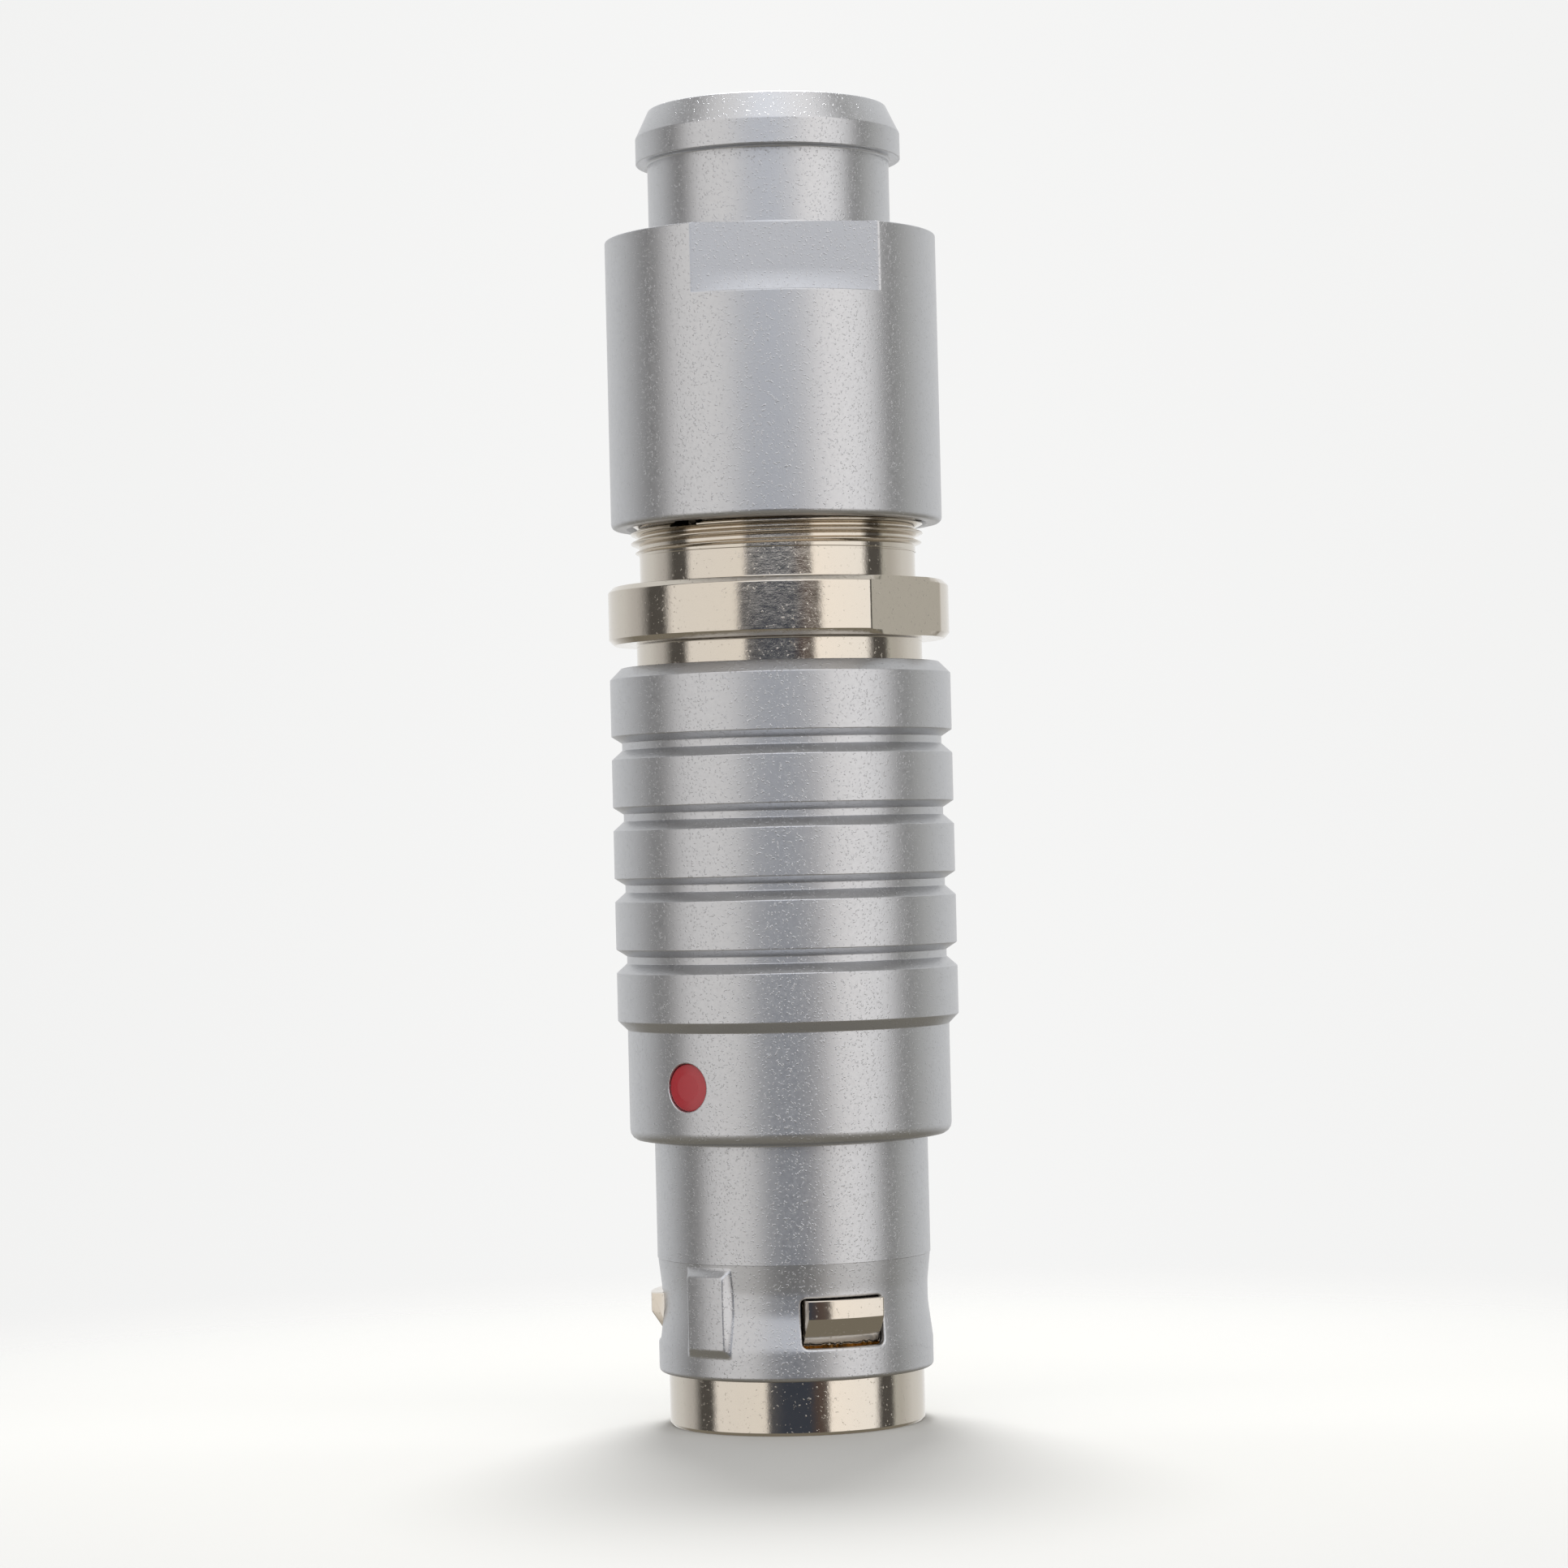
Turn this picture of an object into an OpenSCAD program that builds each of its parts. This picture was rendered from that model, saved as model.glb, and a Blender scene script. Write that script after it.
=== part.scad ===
// Circular push-pull plug for a cable. A keyed outer shell slides over a latch sleeve, whose sprung
// latches hold the plug in its socket, and a collet nut on the back grips the cable.
// The plug stands on its mating end and +Z runs towards the cable, with the origin on the axis at
// the mating face. The key and the index dot face -Y. Lengths are in millimetres.

/* [Fits] */
// Radial clearance of every sliding or turning fit
slide_gap = 0.06; // [0.04:0.01:0.09]
// Clearance between pieces that are assembled and then stay put
seat_gap = 0.02; // [0.01:0.01:0.03]
// Radial clearance of every thread, crest to root
thread_gap = 0.05; // [0.03:0.01:0.09]

/* [Latch sleeve] */
// Outside diameter of the latch sleeve
sleeve_d = 13.44; // [13.2:0.02:13.8]
// Wall of the latch sleeve and its latches
sleeve_wall = 0.67; // [0.6:0.01:0.75]
// Length of sleeve that shows ahead of the shell
tip_len = 2.83; // [2.4:0.01:3.4]
// Length of the undercut behind the ground tip
undercut_len = 0.6; // [0.55:0.05:0.8]
// Depth of that undercut
undercut_depth = 0.2; // [0.1:0.02:0.25]
// Chamfer on the front edge of the sleeve
tip_chamfer = 0.35; // [0.2:0.05:0.4]
// Rise of the sleeve's guide land, which fills the wide bore of the shell
land_rise = 0.82; // [0.75:0.01:0.9]
// Length of the guide land
land_len = 5.5; // [4.5:0.1:6.5]
// Length of the thread that joins the sleeve to the adapter
joint_len = 9.5; // [8:0.1:11]
// Wall of the sleeve under that thread
joint_wall = 0.55; // [0.5:0.01:0.6]
// Distance from the latch roots back to the lip that stops the carrier
lip_set = 0.3; // [0.2:0.05:0.5]
// Length of that lip
lip_len = 0.6; // [0.4:0.05:0.8]

/* [Latches] */
// Width of each latch
latch_w = 4.2; // [3.8:0.1:4.4]
// Free length of each latch, from its sawn front end to its root
latch_len = 9.8; // [9.5:0.1:10.2]
// Height of each hook above the nose
hook_rise = 0.4; // [0.3:0.05:0.45]
// Length of the flat crest of each hook
crest_len = 0.97; // [0.8:0.01:1.2]
// Slope of the ramp ahead of each crest, in degrees
ramp_angle = 33; // [32:1:36]
// Width of the saw cut ahead of each latch
saw_cut = 0.3; // [0.2:0.05:0.4]
// Clearance at each side of a latch
latch_side_gap = 0.05; // [0.04:0.01:0.08]
// Clearance between a hook's back face and the rear edge of its window
hook_gap = 0.05; // [0.03:0.01:0.08]
// Distance from the front edge of a window to the end of its latch
end_gap = 0.2; // [0.1:0.05:0.25]

/* [Outer shell] */
// Wall of the nose over the latch sleeve
nose_wall = 0.42; // [0.38:0.01:0.5]
// Length of the nose, from its front edge to the collar
nose_len = 12.17; // [11.8:0.01:12.6]
// Rise of the land at the front edge of the nose
edge_rise = 0.03; // [0.01:0.01:0.06]
// Length of that land
edge_len = 1.54; // [1.3:0.01:1.7]
// Depth of the waist that runs round the nose at the latches
waist_depth = 0.2; // [0.12:0.01:0.22]
// Length of the taper down to the waist
waist_taper = 1.83; // [1.6:0.01:2]
// Length of the waist
waist_len = 1.1; // [0.8:0.05:1.4]
// Length of the taper back up to the nose
nose_taper = 1.5; // [1.2:0.05:1.8]
// Wall of the collar over the wide bore
collar_wall = 0.89; // [0.7:0.01:1.2]
// Length of the collar, from its front face to the step up to the ribs
collar_len = 5.8; // [5.2:0.1:6.4]
// Radius of the round on the front edge of the collar
collar_round = 0.65; // [0.4:0.05:0.8]
// Step up from the collar to the ribs
rib_step = 0.51; // [0.4:0.01:0.7]
// Length of the shell
shell_len = 37.03; // [36:0.01:38.5]
// Length of the last rib, at the cable end
last_rib_len = 3.58; // [3.2:0.01:4]
// Chamfer on the last rib
rear_chamfer = 0.6; // [0.4:0.05:0.8]
// Distance from one grip groove to the next
groove_pitch = 3.74; // [3.6:0.01:3.9]
// Depth of the grip grooves
groove_depth = 0.56; // [0.4:0.01:0.6]
// Width of the floor of a grip groove
groove_floor = 0.38; // [0.3:0.01:0.5]
// Axial length of the gentle flank, on the mating side
front_flank = 0.5; // [0.4:0.01:0.6]
// Axial length of the steep flank, on the cable side
rear_flank = 0.36; // [0.3:0.01:0.45]
// Distance from the collar's front face back to the step in the bore
bore_step = 1.5; // [1.2:0.1:1.7]
// Air left between that step and the sleeve's land when the shell is pulled right back
step_room = 0.82; // [0.5:0.01:1.2]

/* [Windows, key and index dot] */
// Clearance at each side of a latch in its window
window_side_gap = 0.15; // [0.1:0.05:0.3]
// Length of each latch window
window_len = 2.55; // [2.5:0.05:2.7]
// Distance from the shell's front edge to the windows
window_set = 1.67; // [1.5:0.01:1.9]
// Corner radius of the windows
window_round = 0.3; // [0.1:0.05:0.5]
// Height of the key above the nose
key_rise = 0.3; // [0.2:0.05:0.4]
// Width of the key at its foot
key_w = 2.85; // [2.6:0.05:3.2]
// Length of the key at its foot
key_len = 4.55; // [4:0.05:5]
// Distance from the shell's front edge to the key
key_set = 1.2; // [1:0.05:1.5]
// Sideways lean of the key's flanks, foot to top
key_lean = 0.25; // [0.1:0.05:0.3]
// Lengthways lean of the key's ends, foot to top
key_end_lean = 0.4; // [0.3:0.05:0.5]
// Diameter of the index dot
dot_d = 2.5; // [2:0.1:3]
// Distance from the collar's front face to the middle of the index dot
dot_set = 3; // [2.6:0.1:3.4]
// Depth of the index dot's recess below the top of the collar
dot_depth = 0.34; // [0.3:0.01:0.4]
// Thickness of the index dot
dot_thick = 0.18; // [0.15:0.01:0.22]

/* [Adapter] */
// Free travel of the shell, from rest to the flange
pull_travel = 1.18; // [1:0.01:1.22]
// Air left at the end of the shell's travel, ahead of the flange
stop_gap = 0.04; // [0.03:0.01:0.08]
// Length of the flange
flange_len = 3.05; // [2.6:0.05:3.6]
// Chamfer on the edges of the flange
flange_chamfer = 0.28; // [0.2:0.01:0.4]
// Distance across the wrench flats of the flange
flange_flats = 17; // [16.6:0.1:17.3]
// Drop from the crests of the thread to the neck ahead of it
neck_drop = 0.44; // [0.3:0.01:0.6]
// Length of the neck
neck_len = 2.07; // [1.8:0.01:2.4]
// Length of the thread
thread_len = 7.2; // [6.8:0.1:7.8]
// Wall of the threaded tube
tube_wall = 1.52; // [1.4:0.01:1.6]
// Thread relief between the sleeve's end and the seat of the carrier
relief_len = 0.5; // [0.3:0.05:0.8]
// Width of the ledge that the carrier seats on
seat_width = 0.63; // [0.4:0.01:0.9]
// Width of each slot in the threaded tube
slot_w = 1.8; // [1.6:0.1:2.2]
// Length of each slot that shows ahead of the nut
slot_show = 0.25; // [0.15:0.05:0.3]
// Distance from the slots' ends to the floor of the collet's bore
bore_floor_set = 0.45; // [0.3:0.05:0.5]

/* [Collet nut] */
// Length of thread that shows ahead of the nut
thread_show = 1; // [0.95:0.05:1.3]
// Travel of the nut and collet when the nut is tightened
grip_travel = 0.9; // [0.6:0.05:0.9]
// Drop from the grip ribs and the flange to the nut
nut_inset = 0.25; // [0.1:0.05:0.4]
// Wall of the nut over the thread
nut_wall = 0.98; // [0.8:0.01:1.2]
// Length of the nut from its front face to its shoulder
nut_len = 15.2; // [14.8:0.1:16]
// Round on the front edge of the nut
nut_round = 0.3; // [0.2:0.05:0.5]
// Bore of the nut where the cable comes out
cable_bore_d = 10.4; // [10:0.1:10.8]
// Wall of the tail that carries a bend relief
tail_wall = 1.19; // [1:0.01:1.4]
// Length of the tail's neck
tail_len = 4.1; // [3.6:0.1:4.6]
// Height of the rim at the end of the tail
rim_rise = 0.61; // [0.4:0.01:0.8]
// Length of the straight part of the rim
rim_len = 1.35; // [1:0.05:1.7]
// Axial length of the chamfer behind the rim
rim_lead = 1.45; // [1:0.05:1.7]
// Radial fall of that chamfer
rim_fall = 0.7; // [0.5:0.05:0.9]
// Distance across the wrench flats of the nut
nut_flats = 14.5; // [14.3:0.1:15.5]
// Length of the wrench flats of the nut
nut_flat_len = 3.6; // [3:0.1:4]
// Axial length of the cone inside the nut
cone_len = 4.6; // [4.2:0.1:4.8]
// Step down from the nut's thread to the wide end of the cone
cone_step = 0.57; // [0.5:0.01:0.7]
// Length of the straight bore ahead of the cone
cone_lead = 1.2; // [1:0.1:1.4]
// Ledge between the narrow end of the cone and the cable bore
cone_ledge = 0.55; // [0.4:0.05:0.7]

/* [Collet] */
// Radial clearance between the collet jaws and the cone of the nut
jaw_gap = 0.08; // [0.06:0.01:0.1]
// Bore between the jaws
jaw_bore_d = 9.2; // [9:0.1:9.6]
// Air left between the lugs and the slots' ends when the nut is tight
lug_room = 0.35; // [0.2:0.05:0.5]
// Air left between the jaws and the threaded tube when the nut is tight
flare_room = 0.3; // [0.2:0.05:0.5]
// Width of the slits between the jaws
slit_w = 0.7; // [0.5:0.1:0.9]
// Depth of the grip teeth in the jaws
tooth_depth = 0.25; // [0.15:0.05:0.3]
// Length of the lugs that keep the collet from turning
lug_len = 2.2; // [1.8:0.1:2.2]

/* [Contacts and insulator] */
// Diameter of the contact pins
pin_d = 1.3; // [1.1:0.05:1.4]
// Distance from the mating face to the tips of the pins
tip_recess = 1.5; // [1:0.1:2]
// Free length of the pins
pin_len = 8; // [7.5:0.1:8.5]
// Length of pin inside the insulator, ahead of the contact's shoulder
pin_hole_len = 3; // [2:0.1:4]
// Diameter of the solder cups
cup_d = 1.9; // [1.7:0.05:2]
// Length of the solder cups behind the insulator
cup_len = 6; // [5:0.1:6.5]
// Wall of the solder cups
cup_wall = 0.25; // [0.2:0.05:0.35]
// Distance from the edge of the insulator in to the outer circle of contacts
contact_margin = 1.45; // [1.3:0.05:1.6]
// Distance between the two middle contacts
middle_pitch = 2.6; // [2.4:0.05:2.7]
// Room for the latches to spring inwards, between the sleeve and the insulator
latch_room = 0.8; // [0.8:0.05:0.9]
// Rise of the collar that locks the insulator in its carrier
insert_rise = 0.35; // [0.25:0.05:0.4]
// Distance from the front of the carrier to that collar
lock_set = 1.6; // [1.2:0.1:2]
// Length of that collar
lock_len = 2.5; // [2:0.1:3]

/* [Hidden] */
$fn = 96;
CUT = 1;  // overshoot of cutting shapes
EDGE = 0.12;  // flat left beside a rounded or chamfered edge
LATCH_AZIMUTHS = [60, 180, 300];
RING_CONTACTS = 8;
MIDDLE_CONTACTS = 2;
COLLET_SLITS = 6;
JAW_TEETH = 4;
JAW_SETBACK = 0.2;  // from the end of the cone to the end of the jaws
UNDERCUT_LEAD = 0.05;  // from the start of the tip's undercut to the shell's front edge
GRIP_GROOVES = 4;
LUG_SETBACK = 0.3;  // from the crest of the thread in to the tops of the lugs
NUT_FLAT_AZIMUTH = 45;

// Radii of the sleeve and of what is inside it
sleeve_r = sleeve_d / 2;
sleeve_bore_r = sleeve_r - sleeve_wall;
undercut_r = sleeve_r - undercut_depth;
land_r = sleeve_r + land_rise;
insert_r = sleeve_bore_r - latch_room;
carrier_r = sleeve_bore_r - seat_gap;
carrier_bore_r = insert_r + seat_gap;
lock_r = insert_r + insert_rise;
joint_r = sleeve_bore_r + joint_wall;
contact_circle_r = insert_r - contact_margin;

// Radii of the shell
nose_bore_r = sleeve_r + slide_gap;
nose_r = nose_bore_r + nose_wall;
edge_r = nose_r + edge_rise;
waist_r = nose_r - waist_depth;
wide_bore_r = land_r + slide_gap;
collar_r = wide_bore_r + collar_wall;
rib_r = collar_r + rib_step;
hook_r = nose_r + hook_rise;
key_r = nose_r + key_rise;
slot_side = latch_w / 2 + latch_side_gap;
window_w = latch_w + 2 * window_side_gap;

// Radii of the adapter, nut and collet. The flange is as wide as the grip ribs, and the nut's
// thread is cut as deep as its wall allows, which gives a crest diameter of 15.44.
flange_r = rib_r;
nut_r = rib_r - nut_inset;
nut_bore_r = nut_r - nut_wall;
thread_r = nut_bore_r - thread_gap;
neck_r = thread_r - neck_drop;
tube_bore_r = thread_r - tube_wall;
skirt_bore_r = joint_r + thread_gap;
adapter_bore_r = carrier_r - seat_width;
cable_bore_r = cable_bore_d / 2;
tail_r = cable_bore_r + tail_wall;
rim_r = tail_r + rim_rise;
cone_wide_r = nut_bore_r - cone_step;
cone_narrow_r = cable_bore_r + cone_ledge;
ring_r = tube_bore_r - slide_gap;
flare_r = cone_wide_r - jaw_gap;
jaw_end_r = cone_narrow_r - jaw_gap;
jaw_bore_r = jaw_bore_d / 2;

// Heights along the axis, from the mating face
shell_front = tip_len;
undercut_front = shell_front - UNDERCUT_LEAD;
undercut_rear = undercut_front + undercut_len;
collar_front = shell_front + nose_len;
collar_rear = collar_front + collar_len;
shell_rear = shell_front + shell_len;
edge_rear = shell_front + edge_len;
waist_front = edge_rear + waist_taper;
waist_rear = waist_front + waist_len;
window_front = shell_front + window_set;
window_rear = window_front + window_len;
hook_rear = window_rear - hook_gap;
hook_front = hook_rear - crest_len;
latch_end = window_front + end_gap;
latch_root = latch_end + latch_len;
lip_front = latch_root + lip_set;
lip_rear = lip_front + lip_len;
bore_step_z = collar_front + bore_step;
land_front = bore_step_z + pull_travel + step_room;
adapter_front = land_front + land_len;
sleeve_rear = adapter_front + joint_len;
adapter_seat = sleeve_rear + relief_len;
flange_front = shell_rear + pull_travel + stop_gap;
flange_rear = flange_front + flange_len;
thread_front = flange_rear + neck_len;
thread_rear = thread_front + thread_len;
nut_front = thread_front + thread_show;
nut_shoulder = nut_front + nut_len;
rim_front = nut_shoulder + tail_len;
nut_rear = rim_front + rim_len + rim_lead;
slot_front = nut_front - slot_show;
bore_floor = slot_front - bore_floor_set;
ring_front = slot_front + grip_travel + lug_room;
flare_front = thread_rear + grip_travel + flare_room;
nut_step_z = flare_front + flare_room;
cone_front = nut_step_z + cone_lead;
cone_rear = cone_front + cone_len;
jaw_rear = cone_rear - JAW_SETBACK;
insert_front = tip_recess + pin_len;
insert_rear = adapter_front;
contact_shoulder = insert_front + pin_hole_len;
lock_front = lip_rear + lock_set;
lock_rear = lock_front + lock_len;

function contact_name(i) = str("contact_", i < 9 ? "0" : "", i + 1);
CONTACTS = RING_CONTACTS + MIDDLE_CONTACTS;

// Cuts an outer corner of a profile to a round of radius r. The corner is at p, and to says which
// way it points, as [1, -1] for a corner that points outwards and forwards.
module round_off(p, r, to)
    translate(p) mirror([to[0] < 0 ? 1 : 0, 0, 0]) mirror([0, to[1] < 0 ? 1 : 0, 0])
        translate([-r, -r]) difference() {
            square(r + CUT);
            circle(r);
        }

// Rectangle with round corners, centred
module round_rect(w, h, r) {
    square([w, h - 2 * r], center = true);
    square([w - 2 * r, h], center = true);
    for (x = [-1, 1], y = [-1, 1])
        translate([x * (w / 2 - r), y * (h / 2 - r)]) circle(r);
}

// Turns children that face -Y to an azimuth
module at_azimuth(a) rotate([0, 0, a]) children();

// Cuts two opposite wrench flats, across apart, in a round of radius r between two heights
module flat_cuts(across, r, z_front, z_rear)
    for (a = [0, 180])
        at_azimuth(a) translate([-r, -across / 2 - r, z_front]) cube([2 * r, r, z_rear - z_front]);

// Outline of one grip groove, whose cable-side edge is at height z
module groove_outline(z) {
    top = rib_r + CUT;
    front_slope = front_flank / groove_depth;
    rear_slope = rear_flank / groove_depth;
    floor_rear = z - rear_flank;
    floor_front = floor_rear - groove_floor;
    polygon([[rib_r - groove_depth, floor_front], [rib_r - groove_depth, floor_rear],
        [top, floor_rear + rear_slope * (groove_depth + CUT)],
        [top, floor_front - front_slope * (groove_depth + CUT)]]);
}

module shell_outline() {
    difference() {
        polygon([[nose_bore_r, shell_front], [edge_r, shell_front], [edge_r, edge_rear],
            [waist_r, waist_front], [waist_r, waist_rear],
            [nose_r, waist_rear + nose_taper], [nose_r, collar_front], [collar_r, collar_front],
            [collar_r, collar_rear], [rib_r, collar_rear + rib_step],
            [rib_r, shell_rear - rear_chamfer], [rib_r - rear_chamfer, shell_rear],
            [wide_bore_r, shell_rear], [wide_bore_r, bore_step_z], [nose_bore_r, bore_step_z]]);
        round_off([edge_r, shell_front], edge_r - nose_bore_r - EDGE, [1, -1]);
        round_off([collar_r, collar_front], collar_round, [1, -1]);
        for (i = [0:GRIP_GROOVES - 1]) groove_outline(shell_rear - last_rib_len - i * groove_pitch);
    }
}

// Key on the nose: a low pad with sloping flanks and ends and a top that follows the nose
module key() {
    key_front = shell_front + key_set;
    foot_r = nose_bore_r + nose_wall / 2;
    top_r = key_r + CUT;
    flank = key_lean * (top_r - foot_r) / key_rise;
    end = key_end_lean * (top_r - foot_r) / key_rise;
    intersection() {
        translate([0, 0, key_front]) linear_extrude(key_len)
            polygon([[-key_w / 2, -foot_r], [key_w / 2, -foot_r],
                [key_w / 2 - flank, -top_r], [-key_w / 2 + flank, -top_r]]);
        translate([-key_w / 2, 0, 0]) rotate([90, 0, 90]) linear_extrude(key_w)
            polygon([[-foot_r, key_front], [-foot_r, key_front + key_len],
                [-top_r, key_front + key_len - end], [-top_r, key_front + end]]);
        cylinder(r = key_r, h = shell_rear);
    }
}

module dot_disc(r, h, depth)
    translate([0, -collar_r + depth, collar_front + dot_set]) rotate([90, 0, 0])
        cylinder(r = r, h = h);

module outer_shell() {
    color("silver") difference() {
        union() {
            rotate_extrude() shell_outline();
            key();
        }
        for (a = LATCH_AZIMUTHS)
            at_azimuth(a) translate([0, -sleeve_bore_r, (window_front + window_rear) / 2])
                rotate([90, 0, 0]) linear_extrude(hook_r)
                    round_rect(window_w, window_len, window_round);
        dot_disc(dot_d / 2, dot_depth + CUT, dot_depth);
    }
}

module index_dot() {
    color("firebrick") dot_disc(dot_d / 2 - seat_gap, dot_thick, dot_depth);
}

module latch_sleeve() {
    color("lightgray") difference() {
        rotate_extrude() polygon([[sleeve_bore_r, 0], [sleeve_r - tip_chamfer, 0],
            [sleeve_r, tip_chamfer], [sleeve_r, undercut_front], [undercut_r, undercut_front],
            [undercut_r, undercut_rear], [sleeve_r, undercut_rear],
            [sleeve_r, land_front], [land_r, land_front],
            [land_r, adapter_front], [joint_r, adapter_front], [joint_r, sleeve_rear],
            [sleeve_bore_r, sleeve_rear], [sleeve_bore_r, lip_rear],
            [carrier_bore_r, lip_rear], [carrier_bore_r, lip_front],
            [sleeve_bore_r, lip_front]]);
        for (a = LATCH_AZIMUTHS)
            at_azimuth(a) translate([-slot_side, -hook_r, latch_end - saw_cut])
                cube([2 * slot_side, hook_r, latch_len + saw_cut + seat_gap]);
    }
}

// One latch, facing -Y: a spring tongue with a hook at its front end
module latch() {
    ramp_foot_r = hook_r - (hook_front - latch_end) * tan(ramp_angle);
    color("gainsboro") intersection() {
        rotate_extrude() polygon([[sleeve_bore_r, latch_end], [ramp_foot_r, latch_end],
            [hook_r, hook_front], [hook_r, hook_rear], [sleeve_r, hook_rear],
            [sleeve_r, latch_root], [sleeve_bore_r, latch_root]]);
        translate([-latch_w / 2, -hook_r - CUT, 0]) cube([latch_w, hook_r + CUT, latch_root + CUT]);
    }
}

// One half of the split carrier that holds the insulator in the sleeve
module carrier_half(a) {
    color("gray") at_azimuth(a) difference() {
        rotate_extrude(angle = 180) difference() {
            translate([carrier_bore_r, lip_rear])
                square([carrier_r - carrier_bore_r, adapter_seat - lip_rear]);
            translate([0, lock_front - seat_gap])
                square([lock_r + seat_gap,
                    lock_rear - lock_front + 2 * seat_gap]);
        }
        translate([-carrier_r - CUT, -CUT, 0])
            cube([2 * (carrier_r + CUT), CUT + seat_gap, adapter_seat + CUT]);
    }
}

// Middle of contact i in plan: the ring first, then the middle pair
function contact_place(i) =
    i < RING_CONTACTS
        ? contact_circle_r * [cos((i + 0.5) * 360 / RING_CONTACTS),
            sin((i + 0.5) * 360 / RING_CONTACTS)]
        : [(i - RING_CONTACTS - 0.5) * middle_pitch, 0];

module insulator() {
    color("ivory") difference() {
        rotate_extrude() polygon([[0, insert_front], [insert_r - EDGE, insert_front],
            [insert_r, insert_front + EDGE], [insert_r, lock_front],
            [lock_r, lock_front], [lock_r, lock_rear],
            [insert_r, lock_rear], [insert_r, insert_rear], [0, insert_rear]]);
        for (i = [0:CONTACTS - 1])
            translate(concat(contact_place(i), 0)) {
                cylinder(r = pin_d / 2 + seat_gap, h = insert_rear);
                translate([0, 0, contact_shoulder])
                    cylinder(r = cup_d / 2 + seat_gap, h = insert_rear);
            }
    }
}

// One contact: a pin with a round tip, a shoulder in the insulator and a hollow solder cup
module contact(i) {
    pin_r = pin_d / 2;
    cup_bore_r = cup_d / 2 - cup_wall;
    cup_rear = insert_rear + cup_len;
    color("gold") translate(concat(contact_place(i), 0)) difference() {
        rotate_extrude() difference() {
            union() {
                translate([0, tip_recess + pin_r]) square([pin_r, contact_shoulder - tip_recess]);
                intersection() {
                    translate([0, tip_recess + pin_r]) circle(pin_r);
                    translate([0, tip_recess]) square(pin_d);
                }
                translate([0, contact_shoulder + seat_gap])
                    square([cup_d / 2, cup_rear - contact_shoulder - seat_gap]);
            }
            translate([0, insert_rear + cup_wall]) square([cup_bore_r, cup_len]);
        }
        translate([-cup_d, 0, cup_rear - cup_len / 2]) cube([2 * cup_d, cup_d, cup_len]);
    }
}

module adapter() {
    color("lightgray") difference() {
        rotate_extrude() polygon([[skirt_bore_r, adapter_front], [land_r, adapter_front],
            [land_r, flange_front], [flange_r - flange_chamfer, flange_front],
            [flange_r, flange_front + flange_chamfer], [flange_r, flange_rear - flange_chamfer],
            [flange_r - flange_chamfer, flange_rear], [neck_r, flange_rear],
            [neck_r, thread_front], [thread_r, thread_front],
            [thread_r, thread_rear], [tube_bore_r, thread_rear],
            [tube_bore_r, bore_floor], [adapter_bore_r, bore_floor],
            [adapter_bore_r, adapter_seat], [skirt_bore_r, adapter_seat]]);
        at_azimuth(90) flat_cuts(flange_flats, flange_r, flange_front - CUT, flange_rear + CUT);
        translate([-slot_w / 2, -nut_r, slot_front]) cube([slot_w, 2 * nut_r, thread_len]);
    }
}

module collet() {
    tooth_pitch = cone_len / (JAW_TEETH + 1);
    color("darkgray") difference() {
        union() {
            rotate_extrude() difference() {
                polygon([[jaw_bore_r, ring_front], [ring_r, ring_front], [ring_r, flare_front],
                    [flare_r, flare_front], [flare_r, cone_front],
                    [jaw_end_r + (flare_r - jaw_end_r) * (cone_rear - jaw_rear) / cone_len, jaw_rear],
                    [jaw_bore_r, jaw_rear]]);
                for (i = [1:JAW_TEETH])
                    translate([jaw_bore_r, cone_front + i * tooth_pitch - tooth_pitch / 2])
                        polygon([[-CUT, -tooth_pitch / 2], [tooth_depth, 0], [-CUT, tooth_pitch / 2]]);
            }
            for (a = [0, 180])
                at_azimuth(a) intersection() {
                    translate([-slot_w / 2 + slide_gap, -thread_r + slide_gap, ring_front])
                        cube([slot_w - 2 * slide_gap, thread_r - jaw_bore_r - 2 * slide_gap, lug_len]);
                    translate([0, 0, ring_front]) cylinder(r = thread_r - LUG_SETBACK, h = lug_len);
                }
        }
        for (i = [0:COLLET_SLITS - 1])
            at_azimuth((i + 0.5) * 360 / COLLET_SLITS)
                translate([-slit_w / 2, -nut_r, (ring_front + flare_front) / 2])
                    cube([slit_w, nut_r, nut_len]);
    }
}

module collet_nut() {
    color("silver") difference() {
        rotate_extrude() difference() {
            polygon([[nut_bore_r, nut_front], [nut_r, nut_front], [nut_r, nut_shoulder],
                [tail_r, nut_shoulder], [tail_r, rim_front], [rim_r, rim_front],
                [rim_r, nut_rear - rim_lead], [rim_r - rim_fall, nut_rear],
                [cable_bore_r, nut_rear], [cable_bore_r, cone_rear], [cone_narrow_r, cone_rear],
                [cone_wide_r, cone_front], [cone_wide_r, nut_step_z], [nut_bore_r, nut_step_z]]);
            round_off([nut_r, nut_front], nut_round, [1, -1]);
        }
        at_azimuth(NUT_FLAT_AZIMUTH)
            flat_cuts(nut_flats, nut_r, nut_shoulder - nut_flat_len, nut_shoulder + CUT);
    }
}

outer_shell();
index_dot();
latch_sleeve();
for (i = [0:2])
    at_azimuth(LATCH_AZIMUTHS[i]) latch();
carrier_half(0);  // carrier_half_1
carrier_half(180);  // carrier_half_2
insulator();
for (i = [0:CONTACTS - 1])
    contact(i);
adapter();
collet();
collet_nut();
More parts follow.
